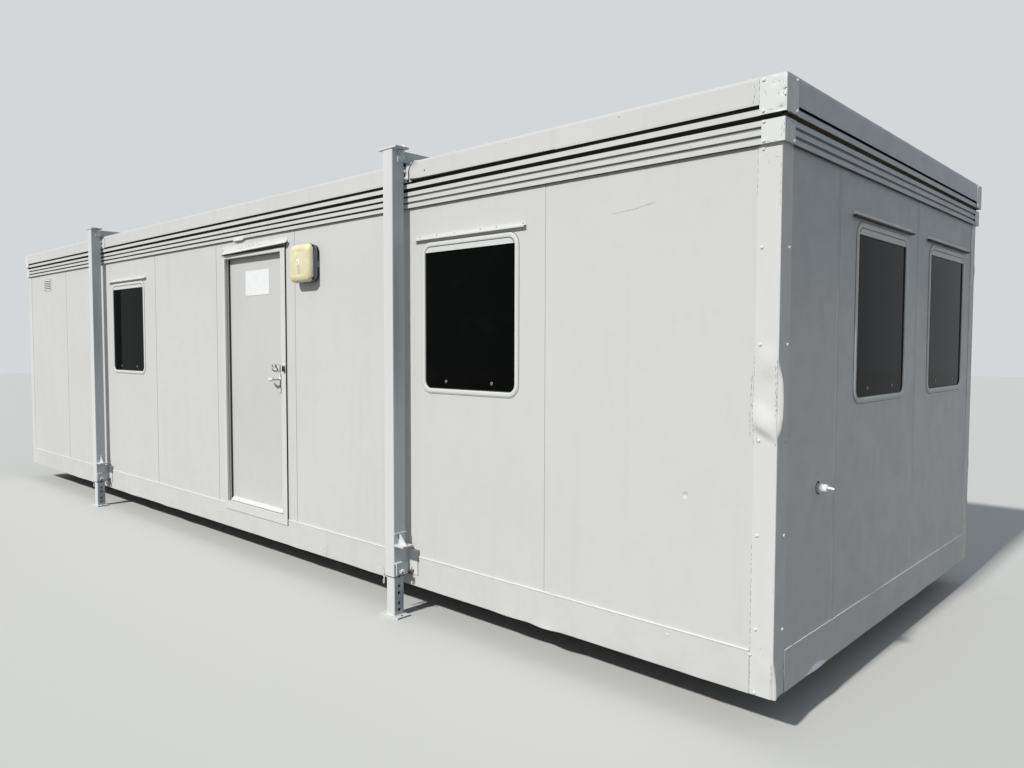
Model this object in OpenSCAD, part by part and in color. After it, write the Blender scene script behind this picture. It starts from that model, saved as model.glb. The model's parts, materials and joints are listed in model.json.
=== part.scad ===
// Portable site cabin: a flat-roofed box of steel-faced panels on four jacklegs.
// The door is in the front wall (-Y), the right end (+X) has two windows.
// Heights are measured from the underside of the base rail, which stands clear of the ground.

/* [Cabin body] */
// Length over the outer wall faces
cabin_l = 9600; // [9500:20:10400]
// Width over the outer wall faces
cabin_w = 3050; // [2980:10:3400]
// Height of the base rail above the ground
clearance = 180; // [150:5:260]
// Thickness of the wall panels
wall_t = 60; // [50:1:70]
// Top of the walls above the rail's underside
wall_top = 2380; // [2340:5:2460]
// Width of one wall panel
panel_w = 1175; // [1150:5:1200]
// Distance of the middle panel joint of the long walls from the cabin's middle
panel_shift = 30; // [0:5:60]
// Distance from the front wall to the first joint of the end walls
end_panel = 630; // [500:10:800]
// Width of the groove between two panels
groove_w = 5; // [3:1:8]
// Depth of the groove between two panels
groove_d = 2; // [1:0.5:4]

/* [Floor] */
// Height of the base rail
rail_h = 180; // [160:5:200]
// Thickness of the rail's steel
rail_t = 4; // [3:0.5:6]
// Thickness of the facing strip on the rail
facing_t = 3; // [2:0.5:4]
// Seam of the facing strip, measured from the middle of the cabin
seam_x = 1580; // [1500:10:1700]
// Thickness of the floor deck
deck_t = 22; // [18:1:30]
// Width of a joist
joist_w = 45; // [38:1:60]
// Height of a floor joist
joist_h = 135; // [120:5:145]
// Distance between floor joists
joist_pitch = 600; // [500:50:700]

/* [Roof edge] */
// Height of the plain fascia
fascia_h = 108; // [90:2:130]
// Height of the slot under the plain fascia
slot_h = 17; // [12:1:22]
// Height of the single rib under the slot
eaves_rib_h = 25; // [20:1:30]
// Height of the deep gap under that rib
eaves_gap_h = 20; // [15:1:28]
// How far the fascia stands out from the wall
roof_over = 25; // [20:1:32]
// Depth of the slot behind the fascia
slot_d = 14; // [8:1:18]
// How far the ribbed band stands out from the wall
band_over = 16; // [12:1:18]
// Height of one rib of the band
band_rib_h = 22; // [18:1:24]
// Height of one groove of the band
band_groove_h = 14; // [10:1:15]
// Depth of a groove of the band
band_groove_d = 9; // [5:1:10]
// Thickness of the roof deck at its edge
roof_t = 30; // [20:1:34]
// Rise of the roof deck towards its middle
roof_rise = 12; // [4:1:14]
// Width of a corner cap's leg
cap_leg = 115; // [90:5:140]
// Thickness of the caps' and trims' sheet
sheet_t = 2.5; // [1.5:0.5:4]
// Width of a corner trim's leg
trim_leg = 100; // [80:5:120]
// Thickness of the ceiling lining
ceiling_t = 12; // [9:1:18]

/* [Windows] */
// Width of a window over its frame
win_w = 780; // [700:10:800]
// Height of a window over its frame
win_h = 885; // [800:5:900]
// Underside of the window frames above the rail's underside
win_z = 1185; // [1100:5:1220]
// Centre of the right-hand front window
win_a_x = 2981; // [2960:1:3100]
// Centre of the left-hand front window
win_b_x = -1781; // [-1800:1:-1700]
// Centre of the end window next to the front wall
win_c_y = -298; // [-350:1:-250]
// Centre of the end window next to the rear wall
win_d_y = 882; // [860:1:900]
// Corner radius of a window frame
win_r = 75; // [60:5:90]
// Width of the frame round the glass
win_rim = 29; // [22:1:34]
// Height of the hinge bar over the glass
hinge_bar_h = 32; // [24:1:36]
// How far a window frame stands out
win_proud = 6; // [4:1:8]
// Thickness of the glass
glass_t = 6; // [4:1:10]
// Length of the drip strip over a window
drip_l = 884; // [860:4:900]
// How far a drip strip stands out
drip_out = 22; // [14:1:28]

/* [Door] */
// Left edge of the clear doorway
door_x = 190; // [170:1:220]
// Width of the clear doorway
door_w = 836; // [800:2:860]
// Top of the clear doorway above the rail's underside
door_top = 2148; // [2050:2:2160]
// Top of the threshold above the rail's underside
sill_z = 206; // [204:1:216]
// Underside of the frame below the threshold
frame_low = 143; // [120:1:150]
// How far the door frame stands out from the wall
frame_proud = 12; // [8:1:16]
// How far the leaf lies behind the outer wall face
leaf_in = 38; // [30:1:45]
// Thickness of the leaf
leaf_t = 44; // [38:1:50]
// Overlap of the frame's stop over the leaf
stop_lap = 10; // [8:1:14]
// Gap between the leaf and its frame
leaf_gap = 8; // [7:1:10]
// Clearance between the leaf and the stop
stop_gap = 5; // [5:1:7]
// Width of the frame's left face
jamb_left = 42; // [34:1:48]
// Width of the frame's right face
jamb_right = 61; // [50:1:75]
// Height of the frame's top face
jamb_top = 45; // [34:1:50]
// Radius of a hinge knuckle
knuckle_r = 9; // [8:1:12]
// Radius of a hinge pin
hinge_pin_r = 5; // [4:0.5:6]
// Height of one hinge knuckle
knuckle_h = 50; // [40:5:60]
// How far the rain hood stands out from the wall
hood_out = 40; // [30:1:60]
// Length of the door lever
lever_l = 104; // [90:1:120]
// Height of the lever above the rail's underside
lever_z = 1213; // [1150:1:1250]
// Distance from the lever's spindle to the doorway's right edge
lever_in = 96; // [80:1:110]
// Radius of the lever's spindle
spindle_r = 6; // [4:0.5:7]
// How far the lever stands out from the leaf
lever_out = 74; // [60:1:90]

/* [Fittings] */
// Width and height of the bulkhead lamp
lamp_size = 258; // [240:2:280]
// Centre of the lamp along the front wall
lamp_x = 1388; // [1360:1:1440]
// Centre height of the lamp
lamp_z = 2030; // [1980:1:2060]
// Depth of the lamp's base
lamp_base_d = 48; // [40:1:60]
// Depth of the lamp's lens
lamp_lens_d = 46; // [36:1:60]
// Width of the vent
vent_w = 240; // [200:5:260]
// Height of the vent
vent_h = 147; // [130:1:160]
// Distance from the left end to the middle of the vent
vent_in = 680; // [560:5:780]
// Centre height of the vent
vent_z = 2163; // [2120:1:2180]
// Blades in the vent
vent_blades = 6; // [4:1:8]
// Distance of the hose inlet from the front wall's outer face
inlet_in = 433; // [375:1:475]
// Height of the hose inlet
inlet_z = 832; // [780:1:900]
// How far the hose inlet stands out from the end wall
inlet_reach = 79; // [72:1:95]
// Radius of the inlet's flange
inlet_r = 28; // [24:1:32]
// Radius of the inlet's hose tail
tail_r = 6.5; // [6:0.5:9]
// Radius of the waterway through the inlet
inlet_bore_r = 4; // [2.5:0.5:5]

/* [Jacklegs] */
// Distance between the two legs of one side
leg_pitch = 4800; // [4700:10:4900]
// How far the pairs of legs stand to the right of the cabin's middle
leg_shift = 36; // [0:1:60]
// Gap between a leg and the wall
leg_gap = 45; // [40:1:60]
// Width of the outer tube
tube_w = 90; // [86:1:100]
// Thickness of the outer tube
tube_t = 4; // [3:0.5:4]
// Lower end of the outer tube above the rail's underside
tube_low = 70; // [55:1:80]
// Width of the inner leg
inner_w = 75; // [70:1:75]
// Thickness of the inner leg
inner_t = 5; // [4:0.5:6]
// Length of the inner leg
inner_l = 1200; // [1000:10:1400]
// Length of the foot and top plates
plate_l = 170; // [150:2:190]
// Width of the foot and top plates
plate_w = 100; // [94:1:104]
// Thickness of the foot and top plates
plate_t = 10; // [8:1:14]
// Radius of an anchor hole in a foot plate
anchor_r = 9; // [6:0.5:10]
// Distance between the two anchor holes
anchor_pitch = 128; // [120:2:140]
// Radius of the leg pin
pin_r = 10; // [8:0.5:11]
// Clearance round the leg pin in its holes
pin_clear = 0.75; // [0.5:0.05:1.2]
// Height of the lowest hole in the inner leg above the ground
hole_low = 43; // [40:1:60]
// Distance between the two holes of a pair
hole_gap = 40; // [36:1:46]
// Distance from one pair of holes to the next
hole_pitch = 103; // [90:1:120]
// Height of the roof beam between two opposite legs
beam_h = 65; // [50:1:70]
// Thickness of the roof beam's steel
beam_t = 6; // [4:1:8]

/* [Hidden] */
$fn = 48;

// Small overrun that lets a cut pass right through
cut = 1;
// Gap left where two moving or fitted pieces nearly touch
fit = 0.3;

half_l = cabin_l / 2;
half_w = cabin_w / 2;
fascia_low = wall_top + eaves_gap_h + eaves_rib_h + slot_h;
roof_top = fascia_low + fascia_h;
band_h = 3 * band_rib_h + 2 * band_groove_h;
band_low = wall_top - band_h;
floor_top = rail_h + deck_t;
// Drop from the top of the fascia to the ridge of the roof deck
deck_drop = 8;
deck_seat = roof_top - roof_t - roof_rise - deck_drop;

mid_x = (inlet_reach - roof_over - sheet_t) / 2;
vent_x = -half_l + vent_in;

// Dimple in the front wall, measured from the right end
dent_in = 421;
dent_z = 802;
dent_ball_r = 34;
dent_depth = 4;

leaf_y = -half_w + leaf_in;
leaf_x0 = door_x - stop_lap;
door_x1 = door_x + door_w;
leaf_x1 = door_x1 + stop_lap;
// Clearance between the leaf and the threshold
sill_gap = 6;
leaf_low = sill_z + sill_gap;
leaf_top = door_top + stop_lap;
hinge_x = leaf_x0 - fit;
hinge_y = leaf_y + leaf_t + knuckle_r;
spindle_x = door_x1 - lever_in;

leg_y = half_w + leg_gap + tube_w / 2;
inlet_y = -half_w + inlet_in;
pin_z = hole_low + 2 * hole_pitch + hole_gap - clearance;

body_grey = [0.80, 0.81, 0.79];
steel_grey = [0.62, 0.64, 0.65];
dark_grey = [0.25, 0.27, 0.30];
floor_brown = [0.55, 0.45, 0.35];
glass_grey = [0.10, 0.12, 0.13, 0.6];
lens_yellow = [0.88, 0.84, 0.65];
plastic_white = [0.93, 0.93, 0.92];

// Puts the cabin on its legs, with the middle of the whole outline over the origin
module placed() {
    translate([-mid_x, 0, clearance]) children();
}

// Draws a section of (distance out, height) along the front wall from x0 to x1
module front_bar(x0, x1) {
    translate([x1, -half_w, 0]) rotate([90, 0, -90]) linear_extrude(x1 - x0) children();
}

// Draws the same kind of section along the right end wall from y0 to y1
module end_bar(y0, y1) {
    translate([half_l, y1, 0]) rotate([90, 0, 0]) linear_extrude(y1 - y0) children();
}

// Repeats a piece of the front on the rear
module front_and_rear() {
    children();
    mirror([0, 1, 0]) children();
}

// Repeats a piece of the right end on the left end
module both_ends() {
    children();
    mirror([1, 0, 0]) children();
}

// A rectangle with round corners, centred
module rounded(w, h, r) {
    square([w - 2 * r, h], center = true);
    square([w, h - 2 * r], center = true);
    for (sx = [-1, 1], sy = [-1, 1]) translate([sx * (w / 2 - r), sy * (h / 2 - r)]) circle(r);
}

// Stands a flat shape up on the front wall at (x, z), pushed out of the wall by out
module on_front(x, z, out) {
    translate([x, -half_w - out, z]) rotate([90, 0, 0]) children();
}

// Stands a flat shape up on the right end wall at (y, z), pushed out of the wall by out
module on_end(y, z, out) {
    translate([half_l + out, y, z]) rotate([90, 0, 90]) children();
}

// Repeats a piece drawn for the front at each window of every wall
module at_windows() {
    front_and_rear() {
        for (x = [win_a_x, win_b_x]) translate([x, -half_w, win_z]) children();
    }
    for (y = [win_c_y, win_d_y]) translate([half_l, y, win_z]) rotate([0, 0, 90]) children();
}

// Base rails

// Width of the seam between two facing strips
seam_w = 2;

module rail_section() {
    polygon([
        [0, 0], [0, rail_h], [-wall_t, rail_h], [-wall_t, rail_h - rail_t],
        [-rail_t, rail_h - rail_t], [-rail_t, rail_t], [-wall_t, rail_t], [-wall_t, 0]
    ]);
}

module rail_facing() {
    polygon([[0, 0], [facing_t, 0], [facing_t, rail_h], [0, rail_h]]);
}

module base_rails_long() {
    color(body_grey) placed() front_and_rear() {
        front_bar(-half_l, half_l) rail_section();
        front_bar(-half_l + trim_leg + cut, seam_x - seam_w / 2) rail_facing();
        front_bar(seam_x + seam_w / 2, half_l - trim_leg - cut) rail_facing();
    }
}

module base_rails_short() {
    color(body_grey) placed() both_ends() {
        end_bar(-half_w + wall_t, half_w - wall_t) rail_section();
        end_bar(-half_w + trim_leg + cut, half_w - trim_leg - cut) rail_facing();
    }
}

module floor_joists() {
    tip = half_w - wall_t;
    web = half_w - rail_t;
    count = floor((cabin_l - 2 * wall_t) / joist_pitch);
    first = -(count - 1) / 2 * joist_pitch;
    color(floor_brown) placed() for (i = [0 : count - 1]) {
        translate([first + i * joist_pitch - joist_w / 2, 0, 0]) {
            translate([0, -tip, rail_h - joist_h]) cube([joist_w, 2 * tip, joist_h]);
            translate([0, -web, rail_h - joist_h]) cube([joist_w, 2 * web, joist_h - rail_t]);
        }
    }
}

module floor_deck() {
    color(floor_brown) placed()
        translate([-half_l + wall_t, -half_w + wall_t, rail_h])
            cube([cabin_l - 2 * wall_t, cabin_w - 2 * wall_t, deck_t]);
}

// Walls

// Thickness of the door frame's lining round the leaf
lining_t = 8;
wall_open_x0 = leaf_x0 - leaf_gap - lining_t;
wall_open_x1 = leaf_x1 + leaf_gap + lining_t;
wall_open_top = leaf_top + leaf_gap + lining_t;

// Flat slab of the front wall between two places
module front_slab(x0, x1, z0) {
    translate([x0, -half_w, z0]) cube([x1 - x0, wall_t, wall_top - z0]);
}

// Grooves of the panel joints in the front wall
module front_grooves() {
    count = floor((half_l - trim_leg - panel_shift) / panel_w);
    for (i = [-count : count]) {
        translate([panel_shift + i * panel_w - groove_w / 2, -half_w - cut, rail_h - cut])
            cube([groove_w, groove_d + cut, wall_top - rail_h + 2 * cut]);
    }
}

// Hole for one window, drawn at the wall's outer face with its foot at the frame's underside
module window_hole() {
    translate([0, wall_t + cut, win_h / 2]) rotate([90, 0, 0])
        linear_extrude(wall_t + 2 * cut) rounded(win_w - 2 * win_lap, win_h - 2 * win_lap, win_r - win_lap);
}

// How far a window frame laps over the wall round its hole
win_lap = 16;
// How far the vent laps over the wall round its hole
vent_lap = 20;

module vent_hole() {
    on_front(vent_x, vent_z, -wall_t - cut) linear_extrude(wall_t + 2 * cut)
        square([vent_w - 2 * vent_lap, vent_h - 2 * vent_lap], center = true);
}

// Shallow round dimple knocked into the sheet
module dimple() {
    on_front(half_l - dent_in, dent_z, dent_ball_r - dent_depth) sphere(dent_ball_r);
}

module front_wall_left() {
    color(body_grey) placed() difference() {
        front_slab(-half_l, wall_open_x0, rail_h);
        front_grooves();
        translate([win_b_x, -half_w, win_z]) window_hole();
        vent_hole();
    }
}

module front_wall_right() {
    color(body_grey) placed() difference() {
        front_slab(wall_open_x1, half_l, rail_h);
        front_grooves();
        translate([win_a_x, -half_w, win_z]) window_hole();
        dimple();
    }
}

module front_wall_header() {
    color(body_grey) placed() front_slab(wall_open_x0, wall_open_x1, wall_open_top);
}

module rear_wall() {
    color(body_grey) placed() mirror([0, 1, 0]) difference() {
        front_slab(-half_l, half_l, rail_h);
        front_grooves();
        for (x = [win_a_x, win_b_x]) translate([x, -half_w, win_z]) window_hole();
    }
}

// Slab of the right end wall with its panel grooves
module end_slab() {
    inside = cabin_w - 2 * wall_t;
    difference() {
        translate([half_l - wall_t, -inside / 2, rail_h]) cube([wall_t, inside, wall_top - rail_h]);
        for (y = [-half_w + end_panel, -half_w + end_panel + panel_w])
            translate([half_l - groove_d, y - groove_w / 2, rail_h - cut])
                cube([groove_d + cut, groove_w, wall_top - rail_h + 2 * cut]);
    }
}

module right_end_wall() {
    color(body_grey) placed() difference() {
        end_slab();
        for (y = [win_c_y, win_d_y]) translate([half_l, y, win_z]) rotate([0, 0, 90]) window_hole();
        on_end(inlet_y, inlet_z, -wall_t - cut) cylinder(r = inlet_pipe_r, h = wall_t + 2 * cut);
    }
}

module left_end_wall() {
    color(body_grey) placed() mirror([1, 0, 0]) end_slab();
}

// Folded angle of sheet round the right front corner, its faces standing out from the walls by out
module corner_angle(leg, z0, z1, out) {
    translate([half_l + out, -half_w - out, z0]) difference() {
        translate([-leg, 0, 0]) cube([leg, leg, z1 - z0]);
        translate([-leg - cut, sheet_t, -cut]) cube([leg + cut - sheet_t, leg, z1 - z0 + 2 * cut]);
    }
}

module corner_trims() {
    color(body_grey) placed() both_ends() front_and_rear()
        corner_angle(trim_leg + sheet_t, 0, band_low, sheet_t);
}

// Roof

module ceiling_panel() {
    color(plastic_white) placed()
        translate([-half_l + wall_t, -half_w + wall_t, wall_top - ceiling_t])
            cube([cabin_l - 2 * wall_t, cabin_w - 2 * wall_t, ceiling_t]);
}

module roof_joists() {
    tip = half_w - wall_t;
    pitch = 2 * joist_pitch;
    count = floor((cabin_l - 2 * wall_t) / pitch);
    first = -(count - 1) / 2 * pitch;
    color(floor_brown) placed() for (i = [0 : count - 1])
        translate([first + i * pitch - joist_w / 2, -tip, wall_top])
            cube([joist_w, 2 * tip, deck_seat - wall_top]);
}

// Inner edge of the eaves upstand, measured in from the wall's outer face
upstand_in = 20;
// How far the single rib lies behind the face of the fascia
eaves_rib_in = 3;

module roof_deck() {
    w = half_w - upstand_in;
    color(body_grey) placed()
        translate([half_l - upstand_in, 0, deck_seat]) rotate([90, 0, -90])
            linear_extrude(cabin_l - 2 * upstand_in)
                polygon([[-w, 0], [w, 0], [w, roof_t], [0, roof_t + roof_rise], [-w, roof_t]]);
}

module fascia_section() {
    gap_top = wall_top + eaves_gap_h;
    rib_top = gap_top + eaves_rib_h;
    polygon([
        [-wall_t, wall_top], [0, wall_top], [0, gap_top],
        [roof_over - eaves_rib_in, gap_top], [roof_over - eaves_rib_in, rib_top],
        [roof_over - slot_d, rib_top], [roof_over - slot_d, fascia_low],
        [roof_over, fascia_low], [roof_over, roof_top],
        [-upstand_in, roof_top], [-upstand_in, deck_seat], [-wall_t, deck_seat]
    ]);
}

// The deep gap runs on round the corners
module fascia_long() {
    color(body_grey) placed() front_and_rear() difference() {
        front_bar(-half_l - roof_over, half_l + roof_over) fascia_section();
        both_ends() translate([half_l, -half_w - cut, wall_top - cut])
            cube([roof_over + cut, wall_t + 2 * cut, eaves_gap_h + cut]);
    }
}

module fascia_short() {
    color(body_grey) placed() both_ends()
        end_bar(-half_w + wall_t, half_w - wall_t) fascia_section();
}

module band_section() {
    groove = band_over - band_groove_d;
    step = band_rib_h + band_groove_h;
    polygon(concat(
        [[0, band_low]],
        [for (i = [0 : 2]) each concat(
            [[band_over, band_low + i * step], [band_over, band_low + i * step + band_rib_h]],
            i < 2 ? [[groove, band_low + i * step + band_rib_h], [groove, band_low + (i + 1) * step]] : []
        )],
        [[0, wall_top]]
    ));
}

module ribbed_band_long() {
    color(body_grey) placed() front_and_rear()
        front_bar(-half_l - band_over, half_l + band_over) band_section();
}

module ribbed_band_short() {
    color(body_grey) placed() both_ends()
        end_bar(-half_w, half_w) band_section();
}

// Folded caps over the corners of the fascia and, under them, of the ribbed band
module roof_corner_caps() {
    color(body_grey) placed() both_ends() front_and_rear() {
        corner_angle(cap_leg, wall_top + eaves_gap_h, roof_top, roof_over + sheet_t);
        corner_angle(trim_leg, band_low, wall_top, band_over + sheet_t);
    }
}

// Door

frame_x0 = door_x - jamb_left;
frame_x1 = door_x1 + jamb_right;
frame_top = door_top + jamb_top;
jamb_y1 = leaf_y + leaf_t;

// Block between two places along x, y and z
module xz_slab(x0, x1, z0, z1, y0, y1) {
    translate([x0, y0, z0]) cube([x1 - x0, y1 - y0, z1 - z0]);
}

module door_frame() {
    face_y = -half_w - frame_proud;
    stop_y = leaf_y - stop_gap;
    wall_y = -half_w - facing_t;
    color(body_grey) placed() {
        difference() {
            union() {
                xz_slab(frame_x0, frame_x1, frame_low, frame_top, face_y, wall_y);
                xz_slab(wall_open_x0, wall_open_x1, rail_h, wall_open_top, wall_y, -half_w + wall_t);
                xz_slab(wall_open_x0, wall_open_x1, floor_top, wall_open_top, -half_w, jamb_y1);
                xz_slab(frame_x0, frame_x1, rail_h, frame_top, wall_y, -half_w);
            }
            xz_slab(door_x, door_x1, sill_z, door_top, face_y - cut, jamb_y1 + cut);
            xz_slab(leaf_x0 - leaf_gap, leaf_x1 + leaf_gap, sill_z, leaf_top + leaf_gap,
                    stop_y, jamb_y1 + cut);
        }
        frame_hinges();
    }
}

// Heights of the lowest and the highest hinge above the foot and below the head of the leaf
hinge_low = 150;
hinge_high = 250;
hinge_zs = [leaf_low + hinge_low, (leaf_low + leaf_top) / 2, leaf_top - hinge_high];
// Length and thickness of the strap that holds a knuckle to the leaf
strap_l = 30;
strap_t = 5;
// How far a hinge pin ends below the top of its upper knuckle
pin_short = 2;

// Lower knuckle of each hinge with its pin, on the frame
module frame_hinges() {
    for (z = hinge_zs) {
        translate([hinge_x, hinge_y, z]) cylinder(r = knuckle_r, h = knuckle_h);
        translate([hinge_x, hinge_y, z]) cylinder(r = hinge_pin_r, h = 2 * knuckle_h - pin_short);
        translate([wall_open_x0, jamb_y1 - cut, z])
            cube([hinge_x - wall_open_x0, knuckle_r + cut, knuckle_h]);
    }
}

// Upper knuckle of each hinge, on the leaf
module leaf_hinges() {
    for (z = hinge_zs) translate([hinge_x, hinge_y, z + knuckle_h + fit]) {
        cylinder(r = knuckle_r, h = knuckle_h);
        translate([0, -knuckle_r, 0]) cube([strap_l, strap_t, knuckle_h]);
    }
}

// Where the rain hood starts and ends, measured from the frame's outer edges
hood_left_in = 50;
hood_right_past = 78;
// Height of the hood over the door frame, and of its edge on the wall, its nose and its sheet
hood_rise = 50;
hood_root_h = 6;
hood_nose_h = 12;
hood_t = 3;

module door_hood() {
    lip = frame_top + fit;
    top = lip + hood_rise;
    color(body_grey) placed() front_bar(frame_x0 + hood_left_in, frame_x1 + hood_right_past)
        polygon([
            [0, top - hood_root_h], [0, top], [hood_t, top], [hood_out, lip + hood_nose_h], [hood_out, lip],
            [hood_out - hood_t, lip], [hood_out - hood_t, lip + hood_nose_h - hood_t],
            [hood_t, top - hood_root_h]
        ]);
}

module door_leaf() {
    color(body_grey) placed() difference() {
        union() {
            xz_slab(leaf_x0, leaf_x1, leaf_low, leaf_top, leaf_y, leaf_y + leaf_t);
            leaf_hinges();
        }
        translate([spindle_x, leaf_y - cut, lever_z]) rotate([-90, 0, 0])
            cylinder(r = spindle_r + pin_clear, h = leaf_t + 2 * cut);
        for (z = hinge_zs) translate([hinge_x, hinge_y, z]) {
            cylinder(r = hinge_pin_r + fit, h = 3 * knuckle_h);
            translate([0, 0, -cut]) cylinder(r = knuckle_r + fit, h = knuckle_h + cut + fit);
        }
    }
}

// Gaps from the doorway's edges to the ends of the weather bar, and the bar's section
bar_left_gap = 12;
bar_right_gap = 51;
bar_out = 26;
bar_h = 28;
bar_nose_h = 5;
bar_top_t = 4;

// Sloping bar across the foot of the leaf that throws rain clear of the threshold
module weather_bar() {
    x0 = door_x + bar_left_gap;
    x1 = door_x1 - bar_right_gap;
    color(body_grey) placed() translate([x1, leaf_y, leaf_low]) rotate([90, 0, -90]) linear_extrude(x1 - x0)
        polygon([[0, 0], [bar_out, 0], [bar_out, bar_nose_h], [bar_top_t, bar_h], [0, bar_h]]);
}

// Hasp plate above the lever: distance from the doorway's right edge, size and the knuckle beside it
hasp_in = 194;
hasp_w = 83;
hasp_h = 49;
hasp_up = 60;
hasp_knuckle_r = 6;
hasp_arm = 12;

module hasp() {
    x0 = door_x1 - hasp_in;
    z0 = lever_z + hasp_up;
    xz_slab(x0, x0 + hasp_w + hasp_arm, z0, z0 + hasp_h, leaf_y - plate_proud, leaf_y);
    translate([x0 + hasp_w + hasp_arm, leaf_y - hasp_knuckle_r, z0])
        cylinder(r = hasp_knuckle_r, h = hasp_h);
}

// Backplate of a lever and the key's hole in it
plate_proud = 4;
backplate_w = 40;
backplate_h = 150;
backplate_r = 9;
backplate_drop = 29;
key_drop = 51;
key_r = 6;

// Backplate of a lever, drawn as (x, z)
module backplate_shape() {
    translate([spindle_x, lever_z]) difference() {
        translate([0, -backplate_drop]) rounded(backplate_w, backplate_h, backplate_r);
        circle(spindle_r + pin_clear);
        translate([0, -key_drop]) circle(key_r);
    }
}

// Backplates on both faces of the leaf, and the hasp on the outer one
module lock_plates() {
    color(steel_grey) placed() {
        for (y = [leaf_y, leaf_y + leaf_t + plate_proud])
            translate([0, y, 0]) rotate([90, 0, 0]) linear_extrude(plate_proud) backplate_shape();
        hasp();
    }
}

neck_r = 8;
grip_h = 19;
grip_t = 11;
// Flat left at each end of the grip
grip_flat = 1;
// How far the spindle stands out of each backplate
spindle_out = 2;

// One lever on the outer face: a round neck and a flat grip with round ends
module lever_arm() {
    neck = lever_out - grip_t / 2;
    rotate([90, 0, 0]) translate([0, 0, plate_proud + fit]) cylinder(r = neck_r, h = neck - plate_proud);
    translate([-lever_l / 2 + grip_h / 2, -lever_out + grip_t, 0]) rotate([90, 0, 0])
        linear_extrude(grip_t) rounded(lever_l, grip_h, (grip_h - grip_flat) / 2);
}

module door_levers() {
    color(steel_grey) placed() {
        translate([spindle_x, leaf_y, lever_z]) lever_arm();
        translate([spindle_x, leaf_y + leaf_t, lever_z]) mirror([0, 1, 0]) lever_arm();
        translate([spindle_x, leaf_y - plate_proud - spindle_out, lever_z]) rotate([-90, 0, 0])
            cylinder(r = spindle_r, h = leaf_t + 2 * (plate_proud + spindle_out));
    }
}

// Windows, drawn for the front with the foot of the frame at the origin

// How far the glass lies behind the wall's outer face
glass_in = 4;
// How far the frame laps the glass from behind
rebate = 12;
// How far a frame stands into the room
win_back = 6;
// Clearance round the hinge bar, and how far it stands out
hinge_bar_gap = 2;
hinge_bar_out = 4;

// Opening for glass and hinge bar together
module sash_shape(margin) {
    w = win_w - 2 * win_rim + 2 * margin;
    h = win_h - 2 * win_rim + 2 * margin;
    translate([0, win_h / 2]) rounded(w, h, win_r - win_rim + margin);
}

// Pushes a flat (x, z) shape from one depth out of the wall to another
module standing(out0, out1) {
    translate([0, -out0, 0]) rotate([90, 0, 0]) linear_extrude(out1 - out0) children();
}

module window_frames() {
    back = wall_t + win_back;
    color(body_grey) placed() at_windows() difference() {
        union() {
            standing(0, win_proud) translate([0, win_h / 2]) rounded(win_w, win_h, win_r);
            standing(-back, 0) translate([0, win_h / 2])
                rounded(win_w - 2 * win_lap - 2 * fit, win_h - 2 * win_lap - 2 * fit, win_r - win_lap);
        }
        standing(-glass_in - glass_t, win_proud + cut) sash_shape(0);
        standing(-back - cut, 0) sash_shape(-rebate);
    }
}

module window_glass() {
    color(glass_grey) placed() at_windows() standing(-glass_in - glass_t, -glass_in) sash_shape(-fit);
}

module window_hinge_bars() {
    color(body_grey) placed() at_windows() standing(-glass_in, hinge_bar_out) intersection() {
        sash_shape(-hinge_bar_gap);
        translate([-win_w / 2, win_h - win_rim - hinge_bar_h]) square([win_w, hinge_bar_h]);
    }
}

// Catches: their spread, height over the frame, radius and lengths outside and inside
catch_spread = 370;
catch_up = 43;
catch_r = 11;
catch_head = 4;
catch_knob = 12;

// Round catches clamped to the foot of each pane
module window_catches() {
    color(dark_grey) placed() at_windows() for (side = [-1, 1])
        translate([side * catch_spread / 2, glass_in, win_rim + catch_up]) {
            rotate([90, 0, 0]) cylinder(r = catch_r, h = catch_head);
            translate([0, glass_t, 0]) rotate([-90, 0, 0]) cylinder(r = catch_r, h = catch_knob);
        }
}

// Drip strip: gap over the frame, height of its flange and arm, fall of the arm, and its sheet
drip_gap = 14;
drip_flange = 30;
drip_arm = 12;
drip_fall = 4;
drip_t = 2;

module drip_strips() {
    nose = drip_arm - drip_fall;
    color(body_grey) placed() at_windows()
        translate([drip_l / 2, 0, win_h + drip_gap]) rotate([90, 0, -90]) linear_extrude(drip_l)
            polygon([
                [0, 0], [0, drip_flange], [drip_t, drip_flange], [drip_t, drip_arm],
                [drip_out, nose], [drip_out, 0], [drip_out - drip_t, 0], [drip_out - drip_t, nose - drip_t],
                [drip_t, drip_arm - drip_t], [drip_t, 0]
            ]);
}

// Fittings

// Vent: width of its rim, thickness of its sheet, and how far the blades stand out
vent_rim = 12;
vent_t = 4;
blade_out = 8;
// How far a blade's ends run under the rim, and its rise as a share of the blades' pitch
blade_lap = 1;
blade_rise = 0.45;

module vent() {
    inner_w = vent_w - 2 * vent_rim;
    inner_h = vent_h - 2 * vent_rim;
    step = inner_h / vent_blades;
    color(body_grey) placed() {
        on_front(vent_x, vent_z, 0) linear_extrude(vent_t) difference() {
            square([vent_w, vent_h], center = true);
            square([inner_w, inner_h], center = true);
        }
        for (i = [0 : vent_blades - 1])
            translate([vent_x + inner_w / 2 + blade_lap, -half_w, vent_z - inner_h / 2 + i * step])
                rotate([90, 0, -90]) linear_extrude(inner_w + 2 * blade_lap)
                    polygon([
                        [0, step * blade_rise], [0, step * blade_rise + vent_t],
                        [blade_out, vent_t], [blade_out, 0]
                    ]);
    }
}

// Bulkhead lamp: corner radius, the feet that hold it off the wall, and the lens's inset and bevel
lamp_r = 30;
foot_r = 14;
foot_h = 6;
foot_spread = 155;
lens_inset = 6;
lens_bevel = 24;
// Depth of the lens's straight side
lens_side = 18;

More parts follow.
